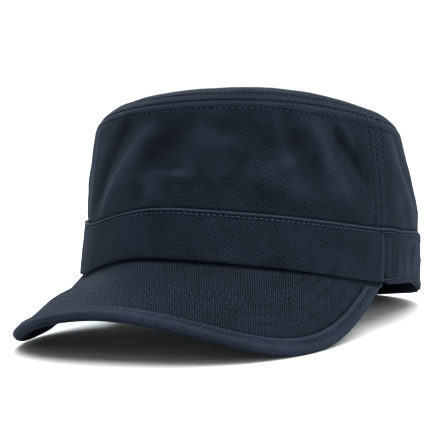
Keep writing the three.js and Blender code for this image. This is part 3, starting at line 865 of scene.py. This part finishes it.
# In the tone bells the pale ones are rubbed seam ridges, and the dark ones on a seam line or a row of
# stitching are painted shade in its groove.
WALL_TOP_WEAR_AND_SHADE = ((0.30, 1.4, 0.7), (0.12, 2.2, 1.3), (-0.3, 0, 0.45))
TOP_PANEL_WEAR_AND_SHADE = ((0.20, 1.4, 0.7), (0.12, 2.2, 1.3), (-0.3, 0, 0.45))
SIDE_SEAM_WEAR_AND_SHADE = ((0.20, 0.8, 0.7), (-0.6, SIDE_STITCH, 0.45))
STITCH_SHADE = ((-0.8, 0, 0.5),)
CROWN_LEAN = Sizes(front=64, left=59, back=58, start=22, over=40)
# The share of the relief on the inner face, and how much relief, folds and dents change the tone: crests
# paler, as rubbed dye and painted highlight, hollows and dents deeper, as deep dye and painted shade.
INNER_SHARE = 0.6
RELIEF_WEAR_AND_SHADING, FOLD_WEAR_AND_HIGHLIGHT, DENT_DYE_AND_SHADE = 0.45, 0.30, 0.45


def wall_stitch_down(turn):
    """How far the wall's topstitching runs below the top seam."""
    start = np.where(sin_d(turn) < 0, WALL_STITCH.from_right, WALL_STITCH.from_left)
    wider = ramp((away_from_front(turn) - start) / WALL_STITCH.over)
    return WALL_STITCH.down + WALL_STITCH.wider * wider


def wall_arc(turn):
    """Distance round the wall from the front, a little above half its height."""
    steps = np.arange(-180.0, 541.0, 1.0)
    walked = lengths_along(eased_crown(steps, np.full_like(steps, 0.6)), 0)
    return np.interp(turn, steps, walked - np.interp(0, steps, walked))


def from_ends(u):
    """Distance along a sheet from the nearer of its first and last rows."""
    return np.minimum(u - u[:1], u[-1:] - u)


def cloth_relief(u, v, seed):
    """Soft washed creases: three sizes of noise added together, in millimetres."""
    return sum(
        height * smooth_noise(u, stretch * v, size, seed + place)
        for place, (height, stretch, size) in enumerate(CREASES)
    )


def crown_relief(u, v, down, from_side, seed):
    """Creases, calmer near the seams, with the seams' puckers and the grooves under threads."""
    pucker = puckered(u, u, v, 4.6, 2.5, 9, seed + 5)
    side_pucker = puckered(v, u, v, 5.2, 2.0, 7, seed + 6)
    calm = ramp((down + 1) / 10) * ramp(from_side / 7)
    return (
        cloth_relief(u, v, seed) * mix(0.25, 1, calm)
        + 0.06 * pucker * hump(down - 2.4, 1.8) + humps(down, TOP_SEAM_RELIEF)
        + 0.10 * side_pucker * hump(from_side - SIDE_STITCH / 2, 2.2)
        + humps(from_side, SIDE_SEAM_RELIEF)
    )


def crown_lean(turn):
    """The ribs' lean: on the front panel less towards the wearer's left, where it curves round."""
    front = mix(CROWN_LEAN.front, CROWN_LEAN.left, ramp((turn - CROWN_LEAN.start) / CROWN_LEAN.over))
    return np.where(turn > SIDE_SEAM_TURN, CROWN_LEAN.back, front)


def build_crown(name, node, first_turn, last_turn, seed):
    """One crown panel between its side seams, from behind the band to the top seam."""
    turns = np.linspace(first_turn, last_turn, 320)
    turn, share = grid(turns, np.linspace(0, 1, 120))
    wall, foot_z = wall_height(turn)
    level = mix(CROWN_FOOT.height / wall, SEAM_LEVEL - HALF_GAP_LEVEL, share)
    face = crown_point(turn, level)
    walked = lengths_along(face, 1)
    down = walked[:, -1:] - walked
    up_cloth = walked + CROWN_FOOT.height
    u = wall_arc(turn)
    from_side = from_ends(u)
    from_stitch = down - wall_stitch_down(turn)
    relief = crown_relief(u, up_cloth, down, from_side, seed) + humps(from_stitch, STITCH_GROOVE)
    shown = relief * ramp((walked - 5.5) / 4)
    inner = crown_point(turn, level, -WALL_THICKNESS)
    height = face[..., 2] - foot_z
    swing = fold_swing(turn, height)
    # Tone: rubbed seam ridges, painted shade on seam lines and under stitching, crease and fold crests
    # paler and hollows deeper as wear with painted highlight and shade, and the painted spots.
    wear_and_shading = (
        humps(down, WALL_TOP_WEAR_AND_SHADE) + humps(from_side, SIDE_SEAM_WEAR_AND_SHADE) + humps(from_stitch, STITCH_SHADE)
        + RELIEF_WEAR_AND_SHADING * relief + np.where(swing > 0, FOLD_WEAR_AND_HIGHLIGHT, DENT_DYE_AND_SHADE) * swing
        + spot_tone(turn, height)
    )
    make_sheet(
        name, node, crown_cloth, moved_out(face, shown),
        moved_out(inner, INNER_SHARE * shown), rib_coordinates(u, up_cloth, crown_lean(turn)), wear_and_shading)


build_crown("crown_front_panel", "crown_front", -SEAM_FRONT, SEAM_FRONT, 11)
build_crown("crown_back_panel", "crown_back", SEAM_BACK, 360 - SEAM_BACK, 23)


def build_top():
    """The top panel: a ring from its seam over the shoulder to a pinhole in its middle."""
    start = SEAM_LEVEL + HALF_GAP_LEVEL
    levels = np.concatenate([np.linspace(start, 2.1, 40), np.linspace(2.12, 2.995, 40)])
    turn, level = grid(np.linspace(0, 360, 380, endpoint=False), levels)
    face = crown_point(turn, level)
    walked = lengths_along(face, 1)
    u = wall_arc(turn)
    from_stitch = walked - TOP_STITCH_IN
    x, y = face[..., 0], face[..., 1]
    relief = (
        cloth_relief(x, y, 31) * ramp(walked / 8) + humps(walked, TOP_SEAM_RELIEF)
        + 0.06 * puckered(u, u, walked, 4.4, 2.5, 9, 41) * hump(walked - 2.4, 1.8)
        + humps(from_stitch, STITCH_GROOVE)
    ) * ramp((3 - level) / 0.05)
    inner = crown_point(turn, level, -TOP_THICKNESS)
    # Tone: a rubbed seam ridge, painted shade on the seam line and under stitching, and relief crests
    # paler and hollows deeper as wear with painted highlight and shade.
    wear_and_shading = humps(walked, TOP_PANEL_WEAR_AND_SHADE) + humps(from_stitch, STITCH_SHADE) + RELIEF_WEAR_AND_SHADING * relief
    make_sheet(
        "top_panel_cloth", "top_panel", top_cloth, moved_out(face, relief),
        moved_out(inner, INNER_SHARE * relief), np.stack([x, -y, 0 * u], axis=-1), wear_and_shading, ring=True)


build_top()

# ---- Band ----

BAND_STITCH_DOWN, REAR_HEM_UP = 2.1, 2.8
# The band's share of the crown's creases, and over how far they and the strap's hollow fade in.
BAND_CREASES = Sizes(share=0.7, over_foot=4, over_top=5)
STRAP_FADE = Sizes(ends=6, edges=2)
# The band's section, up from the rim: heights before the band grows, and distances out.
BAND_TOP = 23.0
BAND_OUTER = [
    (0.95, BAND.proud - 1.6), (0.80, BAND.proud - 1.0), (1.10, BAND.proud - 0.35),
    (2.0, BAND.proud), (21.6, BAND.proud), (22.1, BAND.bead_proud),
    (22.7, BAND.bead_proud - 0.1), (BAND_TOP, BAND.proud - 0.5),
]
BAND_LAP = BAND.lap_height - GAP
BAND_INNER = [
    (0.0, BAND.inner + 0.6), (1.0, BAND.inner), (BAND_LAP, BAND.inner),
    (BAND_LAP + 0.05, BAND.lap_inner), (22.5, BAND.lap_inner),
    (BAND_TOP, BAND.lap_inner + 0.2),
]
FRONT_BAND_SEED, BACK_BAND_SEED = 51, 63
BAND_LEAN = Sizes(front=62, left=50, start=25, over=35, right_adds=10, right_start=-12, right_over=20)
# Gathers of the rear band: a turn, the heights it runs between, its half width and its swing.
GATHERS = (
    (81.0, 4, 20, 2.2, -0.30),
    (87.0, 3, 14, 0.9, 0.30),
    (91.0, 4, 12, 1.8, -0.25),
    (95.0, 3, 9, 1.4, 0.30),
    (101.0, 7, 17, 2.8, -0.60),
    (107.0, 3, 19, 2.0, 0.35),
    (131.0, 3, 12, 2.5, -0.40),
    (149.0, 6, 18, 3.0, 0.35),
    (172.0, 3, 15, 3.5, -0.40),
    (197.0, 4, 19, 3.0, 0.30),
    (221.0, 3, 13, 2.6, -0.40),
    (244.0, 5, 18, 2.4, 0.35),
    (263.0, 3, 14, 2.2, -0.35),
    (274.0, 3, 17, 1.4, 0.30),
)


def gathered(turn, height):
    """The rear band's gathers: a bell across each one, faded at its lower and upper end."""
    return sum(
        swing * hump(turn_from(place, turn) * MM_PER_DEGREE, half_width)
        * ramp((height - low) / 3 + 0.5) * ramp((high - height) / 3 + 0.5)
        for place, low, high, half_width, swing in GATHERS
    )


def soft_band_relief(turn, height, seed):
    """The band's washed creases, calmer near both its edges."""
    down = band_height_at(turn) - height
    creases = BAND_CREASES.share * cloth_relief(wall_arc(turn), height, seed)
    return creases * ramp(height / BAND_CREASES.over_foot) * ramp(down / BAND_CREASES.over_top)


def strap_sink(turn, height):
    """How far the rear band gives way under the strap: smooth ramps in from the strap's four edges."""
    from_end = (away_from_front(turn) - STRAP.from_turn) * MM_PER_DEGREE
    up = height - STRAP.foot
    edges = ramp(up / STRAP_FADE.edges) * ramp((STRAP.height - up) / STRAP_FADE.edges)
    return STRAP.sunk * ramp(from_end / STRAP_FADE.ends) * edges


def band_lean(turn):
    """The band's ribs stand steeper at the wearer's right and lean over towards the left."""
    lean = mix(BAND_LEAN.front, BAND_LEAN.left, ramp((turn - BAND_LEAN.start) / BAND_LEAN.over))
    return lean + BAND_LEAN.right_adds * ramp((BAND_LEAN.right_start - turn) / BAND_LEAN.right_over)


def front_band_marks(height, from_side):
    """Relief and tone of the front band alone: its folded ends, rubbed pale, and painted shade at its
    foot.
    """
    relief = 0.45 * hump(from_side - 0.9, 0.8) * ramp((height - 2) / 3)
    return relief, 0.35 * hump(from_side - 0.9, 0.7) - 1.0 * hump(height, 1.3)


def rear_band_marks(turn, height, from_side):
    """Relief and tone of the rear band alone: gathers, hem, ends and the small hole at each end, with a
    pale rubbed line along the foot and painted shade on the hem's stitch line and in each hole.
    """
    from_hem = height - REAR_HEM_UP
    relief = (
        gathered(turn, height) - 0.28 * hump(from_hem, 0.55) - 0.25 * hump(from_side - 0.8, 0.8)
        - 1.1 * hump(from_side - 0.7, 0.9) * hump(from_hem - 1.2, 0.9)
    )
    wear_and_shading = (
        0.15 * hump(height - 1.2, 0.8) - 0.6 * hump(from_hem, 0.5)
        - 0.9 * hump(from_side - 0.6, 0.8) * hump(from_hem - 1.2, 1.0)
    )
    return relief, wear_and_shading


def build_band(name, node, first_turn, last_turn, steps, seed):
    """A length of band: folded foot, plain face, a lap over the crown and a rolled upper edge."""
    turns = np.linspace(first_turn, last_turn, steps)
    stretch = (band_height_at(turns) / BAND_TOP)[:, None]
    profile = smoothed_rows(BAND_OUTER, 96, 2)
    height = profile[:, 0] * stretch
    turn = turns[:, None] + 0 * height
    outset = profile[:, 1] + 0 * height
    u = wall_arc(turn)
    down = band_height_at(turn) - height
    from_side = from_ends(u)
    if node == "band_back":
        marks, mark_wear_and_shade = rear_band_marks(turn, height, from_side)
        outset = outset - strap_sink(turn, height)
    else:
        marks, mark_wear_and_shade = front_band_marks(height, from_side)
    relief = (
        soft_band_relief(turn, height, seed) - 0.30 * hump(down - BAND_STITCH_DOWN, 0.55)
        + 0.05 * puckered(u, u, height, 3.4, 3.0, 7, seed + 4) * hump(down - 3.8, 1.5) + marks
    )
    rows = smoothed_rows(BAND_INNER, 96, 0)
    lapped = rows[:, 0] > BAND.lap_height
    inner_height = rows[:, 0] * np.where(lapped, stretch, 1)
    # Tone: the rolled upper edge rubbed pale, painted shade along the row of stitching, relief crests
    # paler and hollows deeper as wear with painted highlight and shade, and the marks above.
    wear_and_shading = (
        0.85 * hump(down - 0.3, 0.5) - 0.9 * hump(down - BAND_STITCH_DOWN, 0.55)
        + 0.5 * relief + mark_wear_and_shade
    )
    make_sheet(
        name, node, band_cloth, band_point(turn, height, outset + relief),
        band_point(turn, inner_height, rows[:, 1]),
        rib_coordinates(u, height * ramp((height + 1) / 5), band_lean(turn)), wear_and_shading)


build_band("band_front_cloth", "band_front", -SEAM_FRONT, SEAM_FRONT, 320, FRONT_BAND_SEED)
build_band("band_back_cloth", "band_back", SEAM_BACK, 360 - SEAM_BACK, 360, BACK_BAND_SEED)


def build_strap():
    """The strap on the rear band: a sheet that thins at its four edges and follows the gathers."""
    turns = np.linspace(STRAP.from_turn, 360 - STRAP.from_turn, 320)
    turn, up = grid(turns, np.linspace(0, 1, 30))
    height = STRAP.foot + STRAP.height * up
    u = wall_arc(turn)
    sink = strap_sink(turn, height)
    relief = soft_band_relief(turn, height, BACK_BAND_SEED) + gathered(turn, height)
    inside = BAND.proud - sink + relief + STRAP.clear
    outside = inside + STRAP.edge_thickness + sink * STRAP.thickness / STRAP.sunk
    # Tone: the ends rubbed pale, and relief crests paler and hollows deeper as wear with painted
    # highlight and shade.
    wear_and_shading = 0.35 * hump(from_ends(u) - 0.8, 0.6) + 0.5 * relief
    make_sheet(
        "back_strap_cloth", "back_strap", strap_cloth, band_point(turn, height, outside),
        band_point(turn, height, inside), rib_coordinates(u, height, band_lean(turn)), wear_and_shading)


build_strap()

# ---- Visor ----

VISOR_STITCH_INSETS = (15.1, 20.3, 25.9, 31.1)
VISOR_LEAN = 65
# About how far the sheet runs from its sewn edge to its bound edge, how much of it the band hides,
# and how far the stitching stays clear of the rim.
VISOR_SHEET = Sizes(length=60, hidden=4, over=3, stitch_clear=2.5)
# Bells across a stitched row of the visor: their distances past it and their half widths.
VISOR_GROOVE, VISOR_CHANNEL = (0, 0.5), (2.6, 1.6)


def edge_distance(across, along):
    """Distance in the sheet from the visor's outer edge, worked out a part at a time."""
    angles = np.linspace(-125, 125, 900)
    edge = np.stack(visor_edge(angles, 0), axis=-1)
    here = np.stack([across.ravel(), along.ravel()], axis=-1)
    nearest = [
        ((part[:, None] - edge[None]) ** 2).sum(-1).min(axis=1) for part in np.array_split(here, 40)
    ]
    return np.sqrt(np.concatenate(nearest)).reshape(across.shape)


def build_visor():
    """The visor from its sewn-in edge to its bound edge, both faces, with its stitched channels."""
    angles = np.linspace(-VISOR.end_angle, VISOR.end_angle, 300)
    turns = angles * VISOR_SEWN_TURN / VISOR.end_angle
    x, y = np.array(oval(turns, RIM)) - np.array(outward(turns)) * VISOR.seam_allowance
    sewn_along = y * VISOR_DOWN[1] + visor_height(x, y, 0) * VISOR_DOWN[2] - START_DOWN
    sewn_across = visor_radius(sewn_along) * np.arcsin(x / visor_radius(sewn_along))
    edge_across, edge_along = visor_edge(angles, BINDING.edge_inset)
    share = np.linspace(0, 1, 90)
    across = mix(sewn_across[:, None], edge_across[:, None], share)
    along = mix(sewn_along[:, None], edge_along[:, None], share)
    inset = edge_distance(across, along)
    grooves, between = (
        sum(hump(inset - row - past, half_width) for row in VISOR_STITCH_INSETS)
        for past, half_width in (VISOR_GROOVE, VISOR_CHANNEL)
    )
    past_binding = inset - BINDING.width - 0.5
    clear_of_band = ramp((share * VISOR_SHEET.length - VISOR_SHEET.hidden) / VISOR_SHEET.over)
    inside = ramp(past_binding / 2) * clear_of_band
    ripple = puckered(across, across, along, 5.5, 2.5, 9, 81)
    relief = inside * (
        -0.10 * grooves + 0.16 * smooth_noise(across, along, 14, 82)
        + (0.04 + 0.05 * ripple) * between
    )
    # Tone: painted shade in the stitched grooves, along the binding's inner edge and where the band
    # hides the sheet; the channels between the rows and the relief crests a little paler as painted
    # highlight.
    wear_and_shading = (
        inside * (0.05 * between + 0.5 * relief - 0.35 * grooves)
        - 0.9 * (1 - clear_of_band + hump(past_binding, 0.5))
    )
    lean = VISOR_LEAN
    cloth = np.stack([
        across * sin_d(lean) - along * cos_d(lean), across * cos_d(lean) + along * sin_d(lean),
        0 * across,
    ], axis=-1)
    make_sheet(
        "visor_cloth", "visor", visor_cloth, visor_point(across, along, relief),
        visor_point(across, along, -VISOR.thickness), cloth, wear_and_shading)


build_visor()


def flap_width(angles):
    """How wide the binding's upper flap can be before it meets the band's outer face."""
    widths = np.arange(BINDING.width, 0, -0.05)
    angle, width = grid(angles, widths)
    free = past_rim(visor_point(*visor_edge(angle, width), 0), BAND.proud - 0.2) > 0
    return np.where(free.any(axis=1), widths[np.argmax(free, axis=1)], widths[-1])


def binding_rows():
    """The binding's section: outer inset and height above the sheet, then the inner face's."""
    width, thick, gap = BINDING.width, BINDING.thickness, BINDING.cloth_gap
    top = thick + gap
    under = -VISOR.thickness - gap
    low = under - thick
    middle = -VISOR.thickness / 2
    fold = BINDING.edge_inset - GAP
    return smoothed_rows([
        (width, 0.45, width, gap),
        (width - 0.35, 0.95, width - 0.35, gap),
        (width - 0.9, top, width - 0.9, gap),
        (width - 4.2, top, width - 4.2, gap),
        (1.6, top - 0.2, fold, gap),
        (0.55, top - 0.95, fold, 0.0),
        (0.0, middle, fold, middle),
        (0.55, low + 0.95, fold, under + gap),
        (1.6, low + 0.2, fold, under),
        (4.2, low, 4.2, under),
        (BINDING.under_width, low, BINDING.under_width, under),
    ], 46, 3)


def binding_place(angle, inset, above):
    """A place on the binding; near the visor's ends the flap is squeezed clear of the band."""
    edge = BINDING.edge_inset
    squeeze = ((flap_width(angle[:, 0]) - edge) / (BINDING.width - edge))[:, None]
    beyond = np.maximum(inset - edge, 0)
    return visor_point(*visor_edge(angle, inset - beyond * (1 - squeeze)), above)


def build_binding():
    """The strip folded round the visor's edge, a little wavy along its inner edge."""
    rows = binding_rows()
    angles = np.linspace(BINDING.from_angle, BINDING.to_angle, 460)
    angle, inset = grid(angles, rows[:, 0])
    above, inner_inset, inner_above = (rows[:, k] + 0 * angle for k in (1, 2, 3))
    walked = lengths_along(np.stack(visor_edge(angles, 0), axis=-1), 0)
    u, v = grid(walked, lengths_along(rows[:, :2], 0))
    pucker = puckered(u, u, v, 3.0, 3.0, 6, 91)
    upper = above > -VISOR.thickness / 2
    flap = upper * ramp((inset - 1.0) / 1.5)
    relief = flap * (0.12 * smooth_noise(u, 2 * v, 5, 92) + flap * (
        0.07 * pucker * hump(inset - 5.0, 1.2) - 0.22 * hump(inset - BINDING.stitch_inset, 0.5)))
    # Tone: the upper face paler along its inner edge and near its outer fold, partly rubbed edges and
    # partly painted highlight, and the underside painted darker as painted shade.
    wear_and_shading = (
        upper * (0.50 * hump(inset - BINDING.width + 0.3, 0.6) + 0.30 * hump(inset - 2.2, 1.6))
        - 0.5 * (above < -1.2)
    )
    make_sheet(
        "visor_binding_cloth", "visor_binding", binding_cloth,
        binding_place(angle, inset, above + relief), binding_place(angle, inner_inset, inner_above),
        rib_coordinates(u, v, 98), wear_and_shading)


build_binding()

# ---- Topstitching ----

# How deep the rows' threads lie in their grooves, and how far a row stops short of a side seam.
SUNK = Sizes(wall=0.36, top_panel=0.32, side=0.30, band=0.12, hem=0.10, visor=0.28, binding=0.2)
SHORT_OF_SEAM = 0.5
BAND_THREAD = dict(stitch=1.9, space=0.7)
VISOR_THREAD = dict(stitch=2.1, space=0.8, radius=0.22)
FRONT_TURNS = np.linspace(-SEAM_FRONT + SHORT_OF_SEAM, SEAM_FRONT - SHORT_OF_SEAM, 500)
BACK_TURNS = np.linspace(SEAM_BACK + SHORT_OF_SEAM, 360 - SHORT_OF_SEAM - SEAM_BACK, 500)


def crown_row(turns, levels, sunk):
    """A row of topstitching on the crown through places given by turn and level."""
    normals = crown_normal(turns, levels)
    return stitch_row(crown_point(turns, levels) - normals * sunk, normals)


def levels_walked(turns, levels, distances, down):
    """Levels where each turn's own curve has run so far from its first level, or down from its last."""
    turn, level = grid(turns, levels)
    walked = lengths_along(crown_point(turn, level), 1)
    if down:
        distances = walked[:, -1] - distances
    return np.array([np.interp(far, curve, levels) for far, curve in zip(distances, walked)])


def wall_row(turns):
    """The row round the wall below the top seam."""
    levels = np.linspace(0.2, SEAM_LEVEL, 160)
    return crown_row(turns, levels_walked(turns, levels, wall_stitch_down(turns), True), SUNK.wall)


def top_panel_row():
    """The row round the top panel, in from its seam."""
    turns = np.linspace(0, 359.5, 700)
    levels = np.linspace(SEAM_LEVEL + HALF_GAP_LEVEL, 2.2, 80)
    distances = np.full_like(turns, TOP_STITCH_IN)
    return crown_row(turns, levels_walked(turns, levels, distances, False), SUNK.top_panel)


def side_row(seam_turn, offset):
    """A row beside a side seam, a distance of cloth to one side of it."""
    mm_per_degree_at_seam = 1.36
    levels = np.linspace(0.40, SEAM_LEVEL - 0.02, 220)
    return crown_row(np.full_like(levels, seam_turn + offset / mm_per_degree_at_seam), levels, SUNK.side)


make_threads("crown_topstitching", [
    wall_row(FRONT_TURNS), wall_row(BACK_TURNS),
    *[side_row(seam, offset) for seam, offset in (
        (SIDE_SEAM_TURN, -SIDE_STITCH), (SIDE_SEAM_TURN, SIDE_STITCH),
        (-SIDE_SEAM_TURN, SIDE_STITCH), (-SIDE_SEAM_TURN, -SIDE_STITCH))],
], crown_thread)
make_threads("top_panel_topstitching", [top_panel_row()], crown_thread)


def band_row(turns, heights, sunk):
    """A row of topstitching round the band at a height above the rim."""
    def surface(turn, height):
        return band_point(turn, height, BAND.proud - sunk)

    return stitch_row(surface(turns, heights), line_normals(surface, turns, heights), **BAND_THREAD)


make_threads("band_topstitching", [
    band_row(FRONT_TURNS, band_height_at(FRONT_TURNS) - BAND_STITCH_DOWN, SUNK.band),
    band_row(BACK_TURNS, band_height_at(BACK_TURNS) - BAND_STITCH_DOWN, SUNK.band),
    band_row(BACK_TURNS, np.full_like(BACK_TURNS, REAR_HEM_UP), SUNK.hem),
], band_thread)


def visor_row(inset):
    """A row of stitching a distance in from the visor's edge, kept clear of the band."""
    def surface(across, back):
        return visor_point(across, -back, 0)

    angles = np.linspace(-104, 104, 800)
    across, along = visor_edge(angles, inset)
    clear = past_rim(surface(across, -along), 0) > VISOR_SHEET.stitch_clear
    across, along = across[clear], along[clear]
    points = visor_point(across, along, -SUNK.visor)
    return stitch_row(points, line_normals(surface, across, -along), **VISOR_THREAD)


make_threads(
    "visor_stitching", [visor_row(inset) for inset in VISOR_STITCH_INSETS], visor_thread)


def binding_row():
    """The row of stitching that holds the binding, just inside its inner edge."""
    angles = np.linspace(BINDING.from_angle + 4, BINDING.to_angle - 4, 800)
    place = visor_edge(angles, np.minimum(BINDING.stitch_inset, flap_width(angles) - 1.0))
    top = BINDING.thickness + BINDING.cloth_gap
    points = visor_point(*place, top - SUNK.binding)
    return stitch_row(points, unit(visor_point(*place, top + 1) - points), **BAND_THREAD)


make_threads("binding_stitching", [binding_row()], band_thread)

# ---- Floor, light and camera, in metres ----

FLOOR_REACH = 1.6
floor_material, floor_nodes, floor_shader = new_material("pale_floor")
floor_nodes.fill(floor_shader, {
    "Base Color": (0.84, 0.84, 0.84), "Roughness": 0.9, "Specular IOR Level": 0.1,
})
floor_mesh = bpy.data.meshes.new("floor")
corners = [(x * FLOOR_REACH, y * FLOOR_REACH, 0) for x, y in ((-1, -1), (1, -1), (1, 1), (-1, 1))]
floor_mesh.from_pydata(corners, [], [(0, 1, 2, 3)])
floor_mesh.materials.append(floor_material)
floor = add_object("floor", floor_mesh)


def soft_light(name, place, aim, size, power, colour):
    """A rectangular lamp at a place, facing an aim, with a power in watts."""
    light = bpy.data.lights.new(name, "AREA")
    light.shape = "RECTANGLE"
    light.size, light.size_y = size
    light.energy = power
    light.color = colour
    lamp = add_object(name, light)
    lamp.location = place
    lamp.rotation_euler = (Vector(aim) - Vector(place)).to_track_quat("-Z", "Y").to_euler()


COOL, PALE_COOL, NEAR_WHITE = (0.85, 0.94, 1.0), (0.93, 0.97, 1.0), (0.97, 0.985, 1.0)
soft_light("left_softbox", (-0.66, 0.92, 1.0), (0, 0, 0.06), (0.25, 0.6), 24.0, COOL)
soft_light("right_softbox", (1.05, 0.55, 0.8), (0, 0, 0.06), (0.6, 0.8), 3.0, PALE_COOL)
soft_light("low_softbox", (1.1, -0.3, 0.35), (0.08, 0.02, 0.0), (0.5, 0.4), 3.5, PALE_COOL)
soft_light("overhead_softbox", (0.6, -0.4, 2.6), (0.6, -0.4, 0), (4.0, 4.0), 210.0, NEAR_WHITE)

# The studio walls are white up to a few degrees above the floor and dimmer higher up. The numbers
# are the upward part of the direction of view, and the walls' strengths.
world = bpy.data.worlds.new("studio")
bpy.context.scene.world = world
world.use_nodes = True
walls = Nodes(world.node_tree)
direction = walls.add("TexCoord", {}).outputs["Generated"]
dimming = walls.add("MapRange", {
    "Value": walls.add("SeparateXYZ", {0: direction}).outputs["Z"],
    "From Min": 0.07, "From Max": 0.16, "To Min": 1.08, "To Max": 0.5,
})
dimming.interpolation_type = "SMOOTHSTEP"
walls.fill(world.node_tree.nodes["Background"], {
    "Color": (1, 1, 1), "Strength": dimming.outputs["Result"],
})

# The camera stands low in front of the cap, to the wearer's left, and looks nearly level.
camera_data = bpy.data.cameras.new("camera")
camera_data.lens, camera_data.sensor_width = 142.18, 36
camera_data.clip_start, camera_data.clip_end = 0.05, 50
camera = add_object("camera", camera_data)
camera.location = (0.35428, -0.743311, 0.115983)
camera.rotation_euler = [math.radians(angle) for angle in (85.4309, 1.7430, 25.6422)]
bpy.context.scene.camera = camera
bpy.context.scene.view_settings.view_transform = "Standard"
